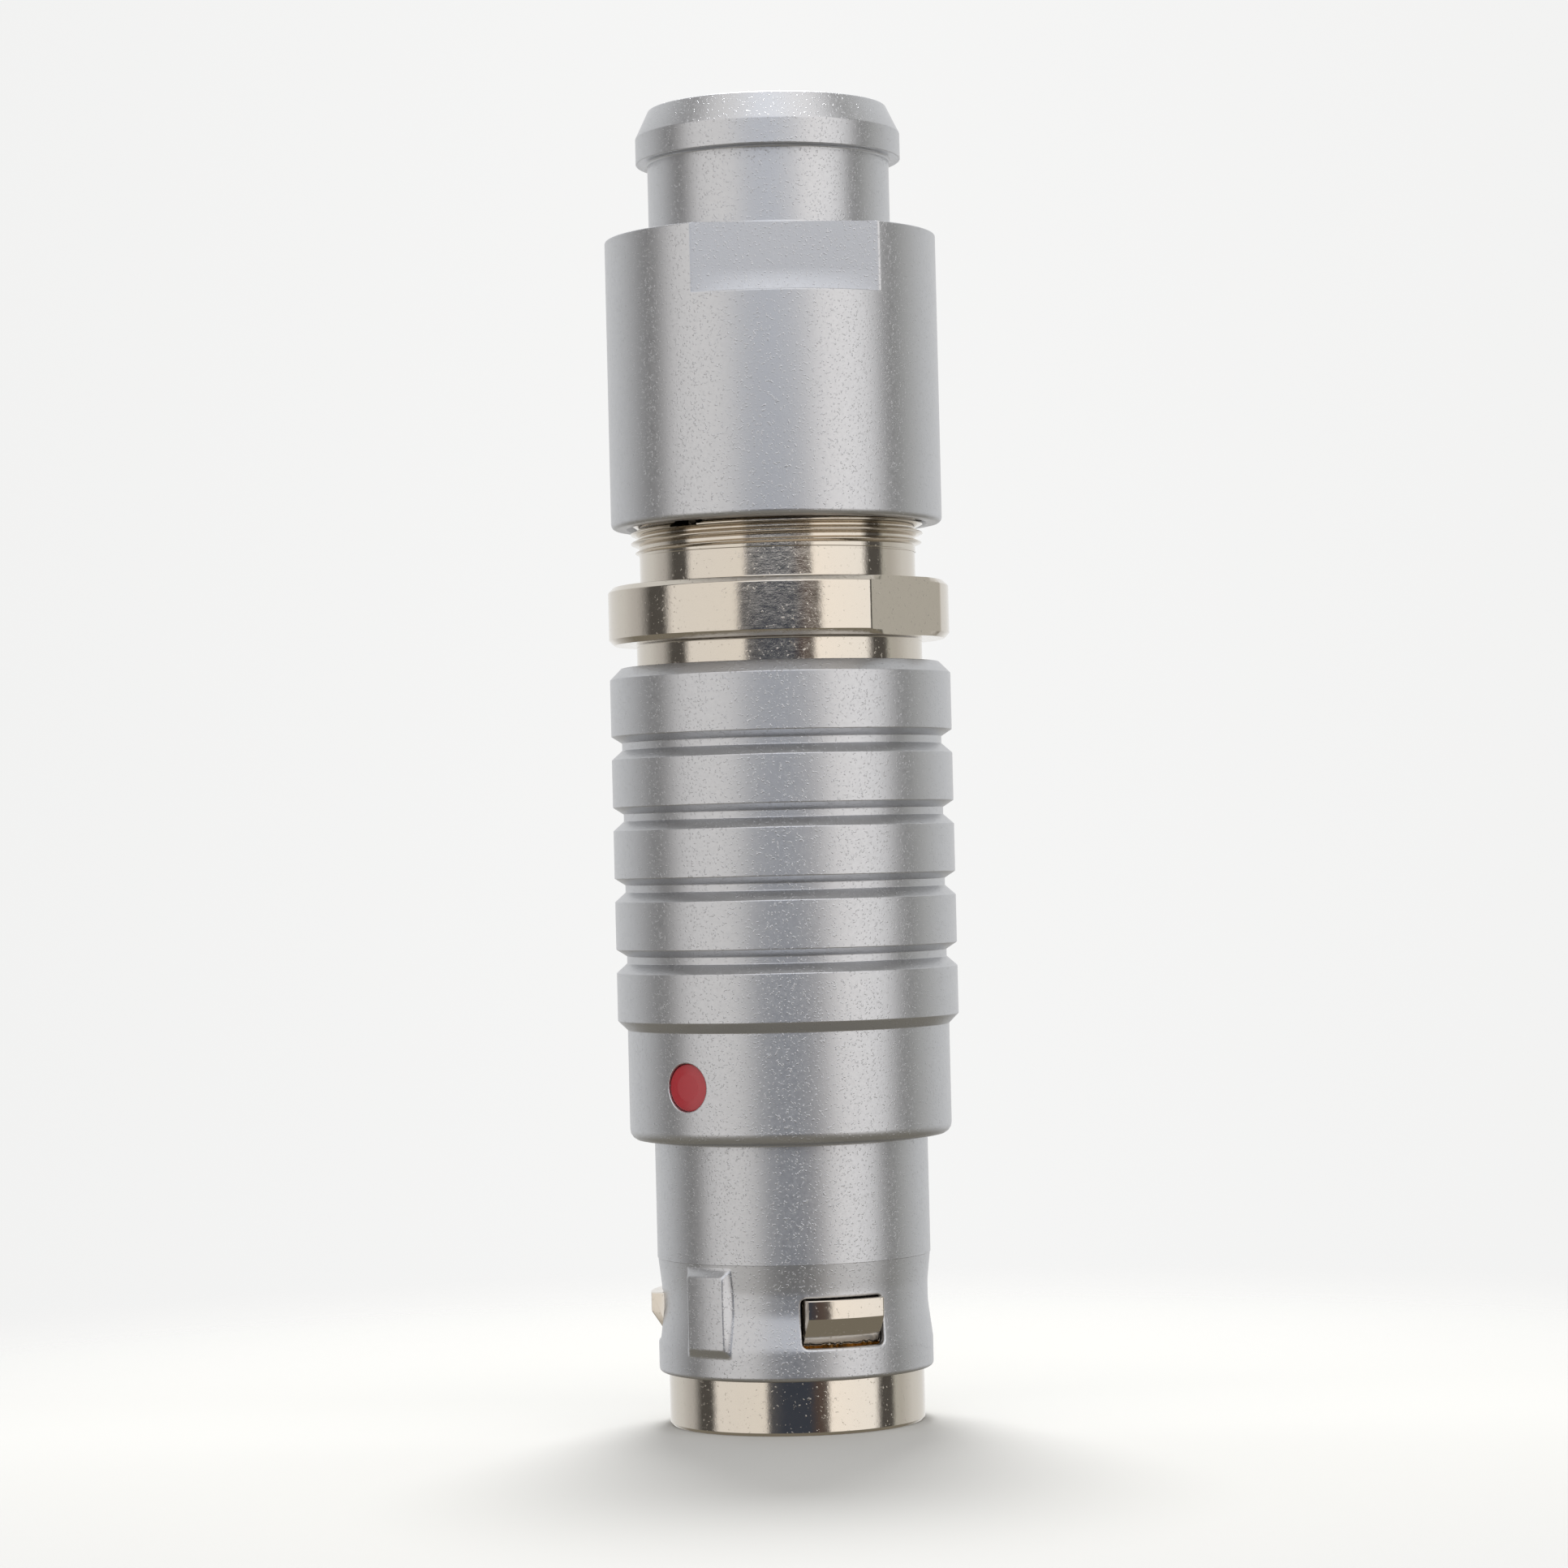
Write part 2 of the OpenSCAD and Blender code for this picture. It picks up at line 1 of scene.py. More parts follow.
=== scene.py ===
# %% [markdown]
# # Looks of a push-pull circular cable plug
#
# The plug is made of turned and milled brass. Its grip and collet nut are satin chrome, and the
# sleeve, latches and adapter are bright nickel. Each cell below takes one piece: what it is on the
# real plug, how it could be modelled, and why it is modelled this way. Shapes are worked out in
# millimetres about the plug's axis and are written in metres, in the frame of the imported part.
# Azimuth 0 faces -Y, where the key and the index dot are.

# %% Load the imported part
import math

import bmesh
import bpy
import numpy as np
from mathutils import Matrix, Vector


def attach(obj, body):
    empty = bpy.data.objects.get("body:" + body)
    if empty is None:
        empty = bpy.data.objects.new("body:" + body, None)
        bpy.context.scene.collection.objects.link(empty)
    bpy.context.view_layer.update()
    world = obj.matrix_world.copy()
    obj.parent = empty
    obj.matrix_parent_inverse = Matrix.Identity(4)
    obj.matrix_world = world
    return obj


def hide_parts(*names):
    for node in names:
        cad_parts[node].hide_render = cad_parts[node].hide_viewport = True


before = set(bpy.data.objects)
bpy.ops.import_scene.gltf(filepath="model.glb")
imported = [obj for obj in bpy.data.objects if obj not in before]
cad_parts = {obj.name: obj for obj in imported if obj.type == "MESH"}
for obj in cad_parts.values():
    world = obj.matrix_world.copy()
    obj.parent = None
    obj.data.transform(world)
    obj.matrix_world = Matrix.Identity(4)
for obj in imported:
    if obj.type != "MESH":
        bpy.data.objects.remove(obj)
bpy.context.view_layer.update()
LATCH_AZIMUTHS = (60.0, 180.0, 300.0)
rng = np.random.default_rng(7)

# %% [markdown]
# ## Tools for turned outlines
# A lathe leaves a small round on every edge, and that round is what catches the light. So an
# outline is given as corners, each with its radius, and `rounded` turns each corner into an arc.
# A support point on both sides of an arc keeps the smooth shading of the arc off the straight runs.

# %% Outlines with rounded corners


def rounded(corners, closed=True, per_right_angle=4, support=0.02):
    """Outline points from corners, each (radius, height, round)."""
    points = []
    count = len(corners)
    for i, (r, z, radius) in enumerate(corners):
        here = np.array([r, z], float)
        end_point = not closed and i in (0, count - 1)
        if radius <= 0 or end_point:
            points.append(here)
            continue
        back = np.array(corners[i - 1][:2], float) - here
        ahead = np.array(corners[(i + 1) % count][:2], float) - here
        back_len, ahead_len = np.linalg.norm(back), np.linalg.norm(ahead)
        back, ahead = back / back_len, ahead / ahead_len
        half = math.acos(np.clip(back @ ahead, -1, 1)) / 2
        reach = min(radius / math.tan(half), 0.46 * back_len, 0.46 * ahead_len)
        radius = reach * math.tan(half)
        middle = (back + ahead) / np.linalg.norm(back + ahead)
        centre = here + middle * radius / math.sin(half)
        sweep = math.pi - 2 * half
        steps = max(2, math.ceil(per_right_angle * sweep / (math.pi / 2)))
        if reach + support < 0.48 * back_len:
            points.append(here + back * (reach + support))
        start, stop = here + back * reach - centre, here + ahead * reach - centre
        for t in np.linspace(0, 1, steps + 1):
            a, b = math.sin((1 - t) * sweep), math.sin(t * sweep)
            points.append(centre + (a * start + b * stop) / math.sin(sweep))
        if reach + support < 0.48 * ahead_len:
            points.append(here + ahead * (reach + support))
    return np.array(points)


def mesh_object(name, verts, faces, edges=()):
    mesh = bpy.data.meshes.new(name)
    mesh.from_pydata([tuple(v) for v in verts], list(edges), [tuple(f) for f in faces])
    obj = bpy.data.objects.new(name, mesh)
    bpy.context.scene.collection.objects.link(obj)
    return obj


def applied(obj):
    """Turns an object's modifiers into plain mesh."""
    graph = bpy.context.evaluated_depsgraph_get()
    graph.update()
    mesh = bpy.data.meshes.new_from_object(obj.evaluated_get(graph), depsgraph=graph)
    obj.modifiers.clear()
    old, obj.data = obj.data, mesh
    bpy.data.meshes.remove(old)
    return obj


def cut(obj, cutters):
    """Takes the cutters' shapes out of an object."""
    for cutter in cutters:
        modifier = obj.modifiers.new("cut", "BOOLEAN")
        modifier.operation, modifier.solver, modifier.object = "DIFFERENCE", "EXACT", cutter
    applied(obj)
    for cutter in cutters:
        bpy.data.objects.remove(cutter)
    return obj


def block(azimuth, x0, x1, y0, y1, z0, z1):
    """A box that faces -Y, turned to an azimuth."""
    turn_to = Matrix.Rotation(math.radians(azimuth), 3, "Z")
    verts = [turn_to @ Vector((x, y, z)) for z in (z0, z1) for y in (y0, y1) for x in (x0, x1)]
    faces = [(0, 2, 3, 1), (4, 5, 7, 6), (0, 1, 5, 4), (2, 6, 7, 3), (0, 4, 6, 2), (1, 3, 7, 5)]
    return mesh_object("block", verts, faces)


print("A square corner of radius 0.5 gets", len(rounded([(0, 0, 0.5), (9, 0, 0), (0, 9, 0)])) - 2, "points")

# %% [markdown]
# ## Turning with Geometry Nodes
# Most pieces are an outline swept once round the axis. The Screw modifier could do it, but a node
# tree with named inputs keeps the number of segments and the material in view, and it welds the
# points that meet on the axis. Mesh to Curve reads the outline, Curve to Mesh sweeps it round.

# %% Helpers for node trees


def new_tree(name, inputs):
    tree = bpy.data.node_groups.new(name, "GeometryNodeTree")
    tree.is_modifier = True
    tree.interface.new_socket("Geometry", in_out="INPUT", socket_type="NodeSocketGeometry")
    for label, kind, value in inputs:
        socket = tree.interface.new_socket(label, in_out="INPUT", socket_type=kind)
        if value is not None:
            socket.default_value = value
    tree.interface.new_socket("Geometry", in_out="OUTPUT", socket_type="NodeSocketGeometry")
    return tree, tree.nodes.new("NodeGroupInput"), tree.nodes.new("NodeGroupOutput")


def add(tree, kind, values=(), **properties):
    node = tree.nodes.new(kind)
    for key, value in properties.items():
        setattr(node, key, value)
    for key, value in dict(values).items():
        node.inputs[key].default_value = value
    return node


def finish_tree(tree, group_in, group_out, last):
    realize = add(tree, "GeometryNodeRealizeInstances")
    shade = add(tree, "GeometryNodeSetMaterial")
    tree.links.new(last, realize.inputs["Geometry"])
    tree.links.new(realize.outputs["Geometry"], shade.inputs["Geometry"])
    tree.links.new(group_in.outputs["Material"], shade.inputs["Material"])
    tree.links.new(shade.outputs["Geometry"], group_out.inputs["Geometry"])


def run_tree(obj, tree, **values):
    modifier = obj.modifiers.new(tree.name, "NODES")
    modifier.node_group = tree
    for item in tree.interface.items_tree:
        if item.in_out == "INPUT" and item.name in values:
            modifier[item.identifier] = values[item.name]
    return applied(obj)


print("Node tree helpers ready")

# %% The turning tree
CORE_RADIUS = 1.0  # of the circle that the outline is swept along
turning, t_in, t_out = new_tree("Turning", [
    ("Segments", "NodeSocketInt", 180), ("Material", "NodeSocketMaterial", None)])
outline_curve = add(turning, "GeometryNodeMeshToCurve")
path = add(turning, "GeometryNodeCurvePrimitiveCircle", {"Radius": CORE_RADIUS})
upright = add(turning, "GeometryNodeSetCurveNormal", mode="Z_UP")
sweep = add(turning, "GeometryNodeCurveToMesh")
weld = add(turning, "GeometryNodeMergeByDistance", {"Distance": 1e-4})
turning.links.new(t_in.outputs["Geometry"], outline_curve.inputs["Mesh"])
turning.links.new(t_in.outputs["Segments"], path.inputs["Resolution"])
turning.links.new(path.outputs["Curve"], upright.inputs["Curve"])
turning.links.new(upright.outputs["Curve"], sweep.inputs["Curve"])
turning.links.new(outline_curve.outputs["Curve"], sweep.inputs["Profile Curve"])
turning.links.new(sweep.outputs["Mesh"], weld.inputs["Geometry"])
finish_tree(turning, t_in, t_out, weld.outputs["Geometry"])


def turn(name, outline, material, closed=True, segments=180):
    """Turns an outline of (radius, height) points round the axis."""
    points = [(r - CORE_RADIUS, -z, 0) for r, z in outline]
    count = len(points)
    edges = [(i, (i + 1) % count) for i in range(count if closed else count - 1)]
    obj = mesh_object(name, points, (), edges)
    return run_tree(obj, turning, Segments=segments, Material=material)


print("Turning tree nodes:", [n.bl_idname for n in turning.nodes])

# %% [markdown]
# ## Milled and pierced turned pieces
# The shell, the adapter and the nut are turned, but their flats, windows and key break the round.
# Boolean cuts would leave knife edges and ragged triangles where the light should run round a
# small radius. So these are built as a grid of rows (the outline) and columns (the azimuths). A flat
# lowers the radius of the columns it crosses, and a window or pad replaces a rectangle of the grid
# by rings that close in on its outline.

# %% A grid that can be milled and pierced


class Grid:
    """A turned surface as rows of the outline by columns of the azimuth, both closed."""

    def __init__(self, rows, columns, reshape=None):
        self.rows, self.columns = np.asarray(rows), np.asarray(columns)
        azimuth = np.radians(self.columns)[None, :]
        r = np.repeat(self.rows[:, :1], len(self.columns), axis=1)
        z = np.repeat(self.rows[:, 1:], len(self.columns), axis=1)
        if reshape:
            r, z = reshape(r, z, np.broadcast_to(self.columns[None, :], r.shape))
        places = np.stack([r * np.sin(azimuth), -r * np.cos(azimuth), z], axis=2)
        self.verts = places.reshape(-1, 3).tolist()
        self.open = set()
        self.faces = []

    def vertex(self, k, j):
        return (k % len(self.rows)) * len(self.columns) + j % len(self.columns)

    def rectangle(self, ks, js):
        """Opens a rectangle of cells and returns its rim of vertices."""
        for k, k_next in zip(ks[:-1], ks[1:]):
            for j in js[:-1]:
                self.open.add((min(k, k_next) % len(self.rows), j % len(self.columns)))
        rim = [(ks[0], j) for j in js[:-1]] + [(k, js[-1]) for k in ks[:-1]]
        rim += [(ks[-1], j) for j in js[:0:-1]] + [(k, js[0]) for k in ks[:0:-1]]
        return [self.vertex(k, j) for k, j in rim]

    def ring(self, points):
        """Adds a ring of vertices."""
        start = len(self.verts)
        self.verts.extend([list(map(float, p)) for p in points])
        return list(range(start, start + len(points)))

    def bridge(self, first, second):
        """Joins two rings by a band of faces."""
        count = len(first)
        for i in range(count):
            n = (i + 1) % count
            self.faces.append((first[i], first[n], second[n], second[i]))

    def cap(self, ring):
        """Closes a ring by a fan of faces."""
        middle = self.ring([np.mean([self.verts[i] for i in ring], axis=0)])[0]
        for i, v in enumerate(ring):
            self.faces.append((v, ring[(i + 1) % len(ring)], middle))

    def build(self, name):
        for k in range(len(self.rows)):
            for j in range(len(self.columns)):
                if (k, j) not in self.open:
                    corners = ((k, j), (k, j + 1), (k + 1, j + 1), (k + 1, j))
                    self.faces.append(tuple(self.vertex(*corner) for corner in corners))
        return mesh_object(name, self.verts, self.faces)


def local(points, azimuth):
    """Points as (x across, z) seen from outside at an azimuth."""
    a = math.radians(azimuth)
    p = np.asarray(points)
    return np.stack([p[:, 0] * math.cos(a) + p[:, 1] * math.sin(a), p[:, 2]], axis=1)


def on_round(xz, radius, azimuth):
    """Puts local (x, z) points on a round of the given radius, at an azimuth."""
    a = math.radians(azimuth)
    x, y = xz[:, 0], -np.sqrt(np.maximum(radius**2 - xz[:, 0] ** 2, 0))
    turned = [x * math.cos(a) - y * math.sin(a), x * math.sin(a) + y * math.cos(a)]
    return np.stack([*turned, xz[:, 1]], axis=1)


def to_outline(xz, centre, half, corner):
    """The nearest points of a rounded rectangle, and their outward directions."""
    p = xz - centre
    core = np.clip(p, -(half - corner), half - corner)
    away = p - core
    normal = away / np.maximum(np.linalg.norm(away, axis=1, keepdims=True), 1e-9)
    return centre + core + corner * normal, normal


EDGE_STEPS = (-1.8, -1.1, -0.7, -0.45, -0.25, -0.08, 0.08, 0.25, 0.45, 0.7, 1.1, 1.8)
EDGE_CLEAR = 2.2  # degrees about an edge that are left to its own columns


def columns_with(step, edges):
    """Azimuths every step degrees, with extra ones near the edges of flats."""
    near = [e + d for e in edges for d in EDGE_STEPS]
    plain = [a for a in np.arange(0, 360, step)
             if all(abs((a - e + 180) % 360 - 180) > EDGE_CLEAR for e in edges)]
    return np.array(sorted(plain + [a % 360 for a in near]))


def soft_min(a, b, blend):
    """The smaller of two radii, with the edge between them rounded."""
    h = np.maximum(blend - np.abs(a - b), 0) / blend
    return np.minimum(a, b) - h * h * blend / 4


def flat_radius(azimuths, middle, distance):
    """Radius at which a flat at a distance from the axis lies; far away where it doesn't face."""
    c = np.cos(np.radians(azimuths - middle))
    return np.where(c > 0.2, distance / np.maximum(c, 0.2), 1e3)


print("Grid tools ready")

# %% [markdown]
# ## Metal finishes
# The grip and the nut are blasted and chromed, so they are a soft mirror with a fine grain. The
# other metal parts are bright nickel with the marks of turning. Both could be one metal with
# two roughness values, but the grain is what tells them apart close up. It is a small bump from
# noise in object coordinates, about a tenth of a millimetre fine, with a little uneven roughness.

# %% Helpers for materials


def new_material(name, base, roughness, metallic=1.0, **values):
    material = bpy.data.materials.new(name)
    material.use_nodes = True
    shader = material.node_tree.nodes["Principled BSDF"]
    shader.inputs["Base Color"].default_value = (*base, 1)
    shader.inputs["Roughness"].default_value = roughness
    shader.inputs["Metallic"].default_value = metallic
    for key, value in values.items():
        shader.inputs[key.replace("_", " ")].default_value = value
    return material, material.node_tree, shader


def noise(tree, scale, stretch=(1, 1, 1), detail=2.0, roughness=0.5):
    """Noise in object coordinates, with scale features to the metre."""
    coords = add(tree, "ShaderNodeTexCoord")
    mapping = add(tree, "ShaderNodeMapping", {"Scale": stretch})
    texture = add(tree, "ShaderNodeTexNoise", {"Scale": scale, "Detail": detail, "Roughness": roughness})
    tree.links.new(coords.outputs["Object"], mapping.inputs["Vector"])
    tree.links.new(mapping.outputs["Vector"], texture.inputs["Vector"])
    return texture.outputs[0]


def remap(tree, value, from_low, from_high, to_low, to_high):
    node = add(tree, "ShaderNodeMapRange", {
        "From Min": from_low, "From Max": from_high, "To Min": to_low, "To Max": to_high})
    tree.links.new(value, node.inputs["Value"])
    return node.outputs["Result"]


def bump(tree, shader, heights):
    """Chains bumps, each (height, distance in metres)."""
    last = None
    for height, distance in heights:
        node = add(tree, "ShaderNodeBump", {"Strength": 1.0, "Distance": distance})
        tree.links.new(height, node.inputs["Height"])
        if last is not None:
            tree.links.new(last, node.inputs["Normal"])
        last = node.outputs["Normal"]
    tree.links.new(last, shader.inputs["Normal"])


print("Material helpers ready")

# %% The five finishes


def satin_chrome():
    material, tree, shader = new_material("satin_chrome", (0.60, 0.61, 0.635), 0.36)
    grain = noise(tree, 13000, detail=2.0, roughness=0.6)
    specks = remap(tree, noise(tree, 8000, detail=1.0), 0.62, 0.70, 0.0, 1.0)
    patches = remap(tree, noise(tree, 5000, detail=2), 0.3, 0.7, 0.33, 0.39)
    tree.links.new(patches, shader.inputs["Roughness"])
    bump(tree, shader, [(grain, 2.6e-6), (specks, 8.0e-6)])
    return material


def bright_nickel():
    material, tree, shader = new_material("polished_nickel", (0.66, 0.61, 0.54), 0.09)
    marks = noise(tree, 1.0, stretch=(1300, 1300, 8000), detail=3, roughness=0.6)
    dings = noise(tree, 2400, detail=5, roughness=0.7)
    specks = remap(tree, noise(tree, 6500, detail=2.0), 0.66, 0.74, 0.0, 1.0)
    tree.links.new(remap(tree, dings, 0.3, 0.75, 0.06, 0.15), shader.inputs["Roughness"])
    bump(tree, shader, [(marks, 1.0e-6), (dings, 4.0e-6), (specks, 4.5e-6)])
    return material


def contact_gold():
    material, tree, shader = new_material("contact_gold", (0.86, 0.60, 0.25), 0.18)
    bump(tree, shader, [(noise(tree, 1.0, stretch=(300, 300, 16000), detail=2), 0.8e-6)])
    return material


def insulator_plastic():
    material, tree, shader = new_material("insulator_plastic", (0.60, 0.50, 0.33), 0.45, metallic=0.0)
    bump(tree, shader, [(noise(tree, 6000, detail=2), 1.5e-6)])
    return material


def red_enamel():
    material, tree, shader = new_material(
        "red_enamel", (0.40, 0.018, 0.028), 0.35, metallic=0.0, Coat_Weight=0.6, Coat_Roughness=0.12)
    bump(tree, shader, [(noise(tree, 4000, detail=2), 1.5e-6)])
    return material


chrome, nickel, gold, plastic, enamel = (
    satin_chrome(), bright_nickel(), contact_gold(), insulator_plastic(), red_enamel())
print("Materials:", [m.name for m in bpy.data.materials if m.users])

# %% [markdown]
# ## Handing a piece over
# Every piece is finished in the same way: doubles are merged, faces turned outwards, millimetres made
# metres, and edges sharper than a limit kept sharp. Then it is tied to the body that it moves with.

# %% Finishing a piece


def finish_piece(obj, name, body, material, nodes=(), sharp=32):
    """Millimetres to metres, faces outward, smooth with sharp edges kept, and tied to its body."""
    obj.name = obj.data.name = name
    tidy = bmesh.new()
    tidy.from_mesh(obj.data)
    bmesh.ops.remove_doubles(tidy, verts=tidy.verts, dist=1e-5)
    bmesh.ops.dissolve_degenerate(tidy, edges=tidy.edges, dist=1e-6)
    bmesh.ops.recalc_face_normals(tidy, faces=tidy.faces)
    if tidy.calc_volume(signed=True) < 0:
        bmesh.ops.reverse_faces(tidy, faces=tidy.faces)
    loose = sum(not e.is_manifold for e in tidy.edges)
    volume = tidy.calc_volume()
    bmesh.ops.scale(tidy, vec=(0.001, 0.001, 0.001), verts=tidy.verts)
    tidy.to_mesh(obj.data)
    tidy.free()
    obj.data.materials.clear()
    obj.data.materials.append(material)
    obj.data.shade_smooth()
    obj.data.set_sharp_from_angle(angle=math.radians(sharp))
    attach(obj, body)
    if nodes:
        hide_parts(*nodes)
    print(f"{name}: {len(obj.data.polygons)} faces, {volume:.1f} mm3, open edges {loose}")
    return obj


print("Pieces are scaled from millimetres to metres when finished")

# %% [markdown]
# ## Outer shell
# The shell is the grip: a thin nose with a key and three latch windows, a collar with the index
# dot, and ribs between four grooves. Its outline goes up the outside and back down the bore.
# The rows between the collar and the front edge are close together, as the windows and the key take their
# place in the grid there.

# %% Outer shell: outline
NOSE_BORE, WIDE_BORE, NOSE, WAIST, KEY_TOP = 6.78, 7.60, 7.20, 7.00, 7.50
COLLAR, RIB, SHELL_FRONT, SHELL_REAR = 8.49, 9.00, 2.83, 39.86
WINDOW_Z, WINDOW_HALF, WINDOW_CORNER = 5.775, np.array([2.25, 1.275]), 0.3
KEY_Z, KEY_HALF = 6.305, np.array([1.425, 2.275])
DOT_Z, DOT_R, DOT_FLOOR = 18.0, 1.25, 8.15

COLUMN = 1.5  # degrees between columns
GROOVES, GROOVE_PITCH, GROOVE_DEPTH, LAST_GROOVE = 4, 3.74, 0.56, 3.58
REAR_FLANK, GROOVE_BOTTOM, FRONT_FLANK = 0.36, 0.38, 0.50
WINDOW_ROWS, KEY_ROWS, DOT_ROWS = (4.20, 7.32), (3.84, 8.80), (16.3, 19.7)

nose_heights = np.concatenate([
    [3.70, 3.84], np.linspace(*WINDOW_ROWS, 17), np.linspace(7.5, 8.78, 7)])
nose_outline = rounded(
    [(NOSE_BORE, SHELL_FRONT, 0.05), (7.23, SHELL_FRONT, 0.3), (7.23, 4.37, 0.5), (WAIST, 6.20, 3.0),
     (WAIST, 7.30, 3.0), (NOSE - 0.03, 8.80, 0.0), (NOSE, 8.82, 0.0), (NOSE, 15.0, 0.12), (7.5, 15.0, 0.0)],
    closed=False)
nose_r, nose_z = nose_outline.T


def nose_radius(z):
    """Radius of the nose at a height."""
    on_nose = (nose_z > 3.2) & (nose_z < 14.5)
    return np.interp(z, nose_z[on_nose], nose_r[on_nose])


front_edge = [p for p in nose_outline.tolist() if p[1] < 3.5]
nose_rows = [[float(nose_radius(z)), float(z)] for z in nose_heights]
behind_nose = [[float(nose_radius(z)), z] for z in (8.80, 8.82, 10.0, 12.0, 14.0)]
grooves = []
groove_radius = RIB - GROOVE_DEPTH
for i in range(GROOVES):
    rear = SHELL_REAR - LAST_GROOVE - (GROOVES - 1 - i) * GROOVE_PITCH
    bottom_rear = rear - REAR_FLANK
    bottom_front = bottom_rear - GROOVE_BOTTOM
    grooves += [(RIB, bottom_front - FRONT_FLANK, 0.06), (groove_radius, bottom_front, 0.05),
                (groove_radius, bottom_rear, 0.05), (RIB, rear, 0.06)]
grip = rounded(
    [(NOSE, 14.5, 0), (NOSE, 15.0, 0.12), (COLLAR, 15.0, 0.65), (COLLAR, 16.3, 0), (COLLAR, 19.7, 0),
     (COLLAR, 20.8, 0.08), (RIB, 21.31, 0.08), *grooves, (RIB, 39.26, 0.05), (8.40, SHELL_REAR, 0.05),
     (WIDE_BORE, SHELL_REAR, 0.05), (WIDE_BORE, 16.5, 0), (NOSE_BORE, 16.5, 0.05), (NOSE_BORE, 9.0, 0)], closed=False)
dot_heights = np.linspace(*DOT_ROWS, 11)
split = int(np.argmax((np.abs(grip[:, 0] - COLLAR) < 1e-6) & (np.abs(grip[:, 1] - DOT_ROWS[0]) < 1e-6)))
grip = np.concatenate([grip[:split], [[COLLAR, z] for z in dot_heights], grip[split + 2:]])
bore_rows = [[NOSE_BORE, float(z)] for z in nose_heights[::-1]]
shell_rows = np.array(front_edge + nose_rows + behind_nose + grip.tolist() + bore_rows)

shell = Grid(shell_rows, np.arange(0, 360, COLUMN))


def rows_between(low, high, inside=6.9, outside=9.0):
    """Rows of the outline between two heights and two radii, from the front to the rear."""
    rows = [k for k, (r, z) in enumerate(shell_rows)
            if low - 1e-6 <= z <= high + 1e-6 and inside <= r <= outside]
    return sorted(rows, key=lambda k: shell_rows[k][1])


def columns_about(azimuth, half_width):
    middle, half = round(azimuth / COLUMN), round(half_width / COLUMN)
    return list(range(middle - half, middle + half + 1))


def quarter_round(radius, steps):
    """Steps of a round from the surface into a hole, each (distance out, depth)."""
    return [(radius * (1 - math.sin(a)), radius * (1 - math.cos(a))) for a in np.radians(steps)]


def join_rings(rings):
    for first, second in zip(rings, rings[1:]):
        shell.bridge(first, second)


print("Shell outline:", len(shell_rows), "points, groove radius", groove_radius)

# %% [markdown]
# ### Windows
# A latch window is a rounded rectangle with a soft rim and straight walls through the nose. The rim of the
# opened cells is moved in steps to the window's outline, round the edge, down the wall and out to
# the cells that were opened in the bore.

# %% Latch windows
LAND = 0.03  # flat strip beside a rounded rim


def pierce_window(azimuth):
    js = columns_about(azimuth, 24)
    outer = shell.rectangle(rows_between(*WINDOW_ROWS), js)
    inner = shell.rectangle(rows_between(*WINDOW_ROWS, 0, 6.9), js)
    centre = np.array([0, WINDOW_Z])
    start = local([shell.verts[i] for i in outer], azimuth)
    rim, normal = to_outline(start, centre, WINDOW_HALF, WINDOW_CORNER)
    soft = 0.11
    rings = [outer]
    for t in (0.35, 0.65, 0.85):
        p = start + (rim + normal * (soft + LAND) - start) * t
        rings.append(shell.ring(on_round(p, nose_radius(p[:, 1]), azimuth)))
    for out, down in [(soft + LAND, 0)] + quarter_round(soft, [0, 22, 45, 68, 90]):
        p = rim + normal * out
        rings.append(shell.ring(on_round(p, nose_radius(p[:, 1]) - down, azimuth)))
    for out, radius in ((0, nose_radius(rim[:, 1]) - soft - LAND), (0, NOSE_BORE + 0.05), (LAND, NOSE_BORE)):
        rings.append(shell.ring(on_round(rim + normal * out, radius, azimuth)))
    p = (start + rim) / 2
    rings.append(shell.ring(on_round(p, NOSE_BORE, azimuth)))
    rings.append(inner)
    join_rings(rings)


for latch_azimuth in LATCH_AZIMUTHS:
    pierce_window(latch_azimuth)
print("Windows at", LATCH_AZIMUTHS)

# %% [markdown]
# ### Key
# The key is a low pad that guides the plug into its socket. Its flanks lean, and its top lies at one
# radius, so each ring sits at a share of the way from the nose to the top.

# %% Key
KEY_LEAN = np.array([0.25, 0.40])  # how far the flanks lean in, across and along
KEY_CORNER, KEY_FOOT = 0.12, 0.09
# (share of the height, inset beyond the flank's own lean)
KEY_STEPS = (
    (0.015, -0.055), (0.06, -0.025), (0.16, 0), (0.5, 0), (0.8, 0), (0.9, 0.004), (0.965, 0.018),
    (0.993, 0.04), (1, 0.075), (1, 0.11))


def raise_key():
    outer = shell.rectangle(rows_between(*KEY_ROWS), columns_about(0, 15))
    centre = np.array([0, KEY_Z])
    start = local([shell.verts[i] for i in outer], 0)
    rings = [outer]
    foot, normal = to_outline(start, centre, KEY_HALF, KEY_CORNER)
    for t in (0.5, 0.85, 1.0):
        p = start + (foot + normal * KEY_FOOT - start) * t
        rings.append(shell.ring(on_round(p, nose_radius(p[:, 1]), 0)))
    for share, extra in KEY_STEPS:
        p, _ = to_outline(start, centre, KEY_HALF - KEY_LEAN * share - extra, KEY_CORNER)
        low = nose_radius(p[:, 1])
        rings.append(shell.ring(on_round(p, low + (KEY_TOP - low) * share, 0)))
    for scale in (0.75, 0.5, 0.25):
        rings.append(shell.ring(on_round(centre + (p - centre) * scale, KEY_TOP, 0)))
    join_rings(rings)
    shell.cap(rings[-1])


raise_key()
print("Key top at radius", KEY_TOP)

# %% [markdown]
# ### Recess of the index dot
# The recess is a flat-bottomed round hole, drilled into the collar in line with the key.

# %% Dot recess, and the finished shell
DOT_RIM, DOT_LAND = 0.06, 0.02


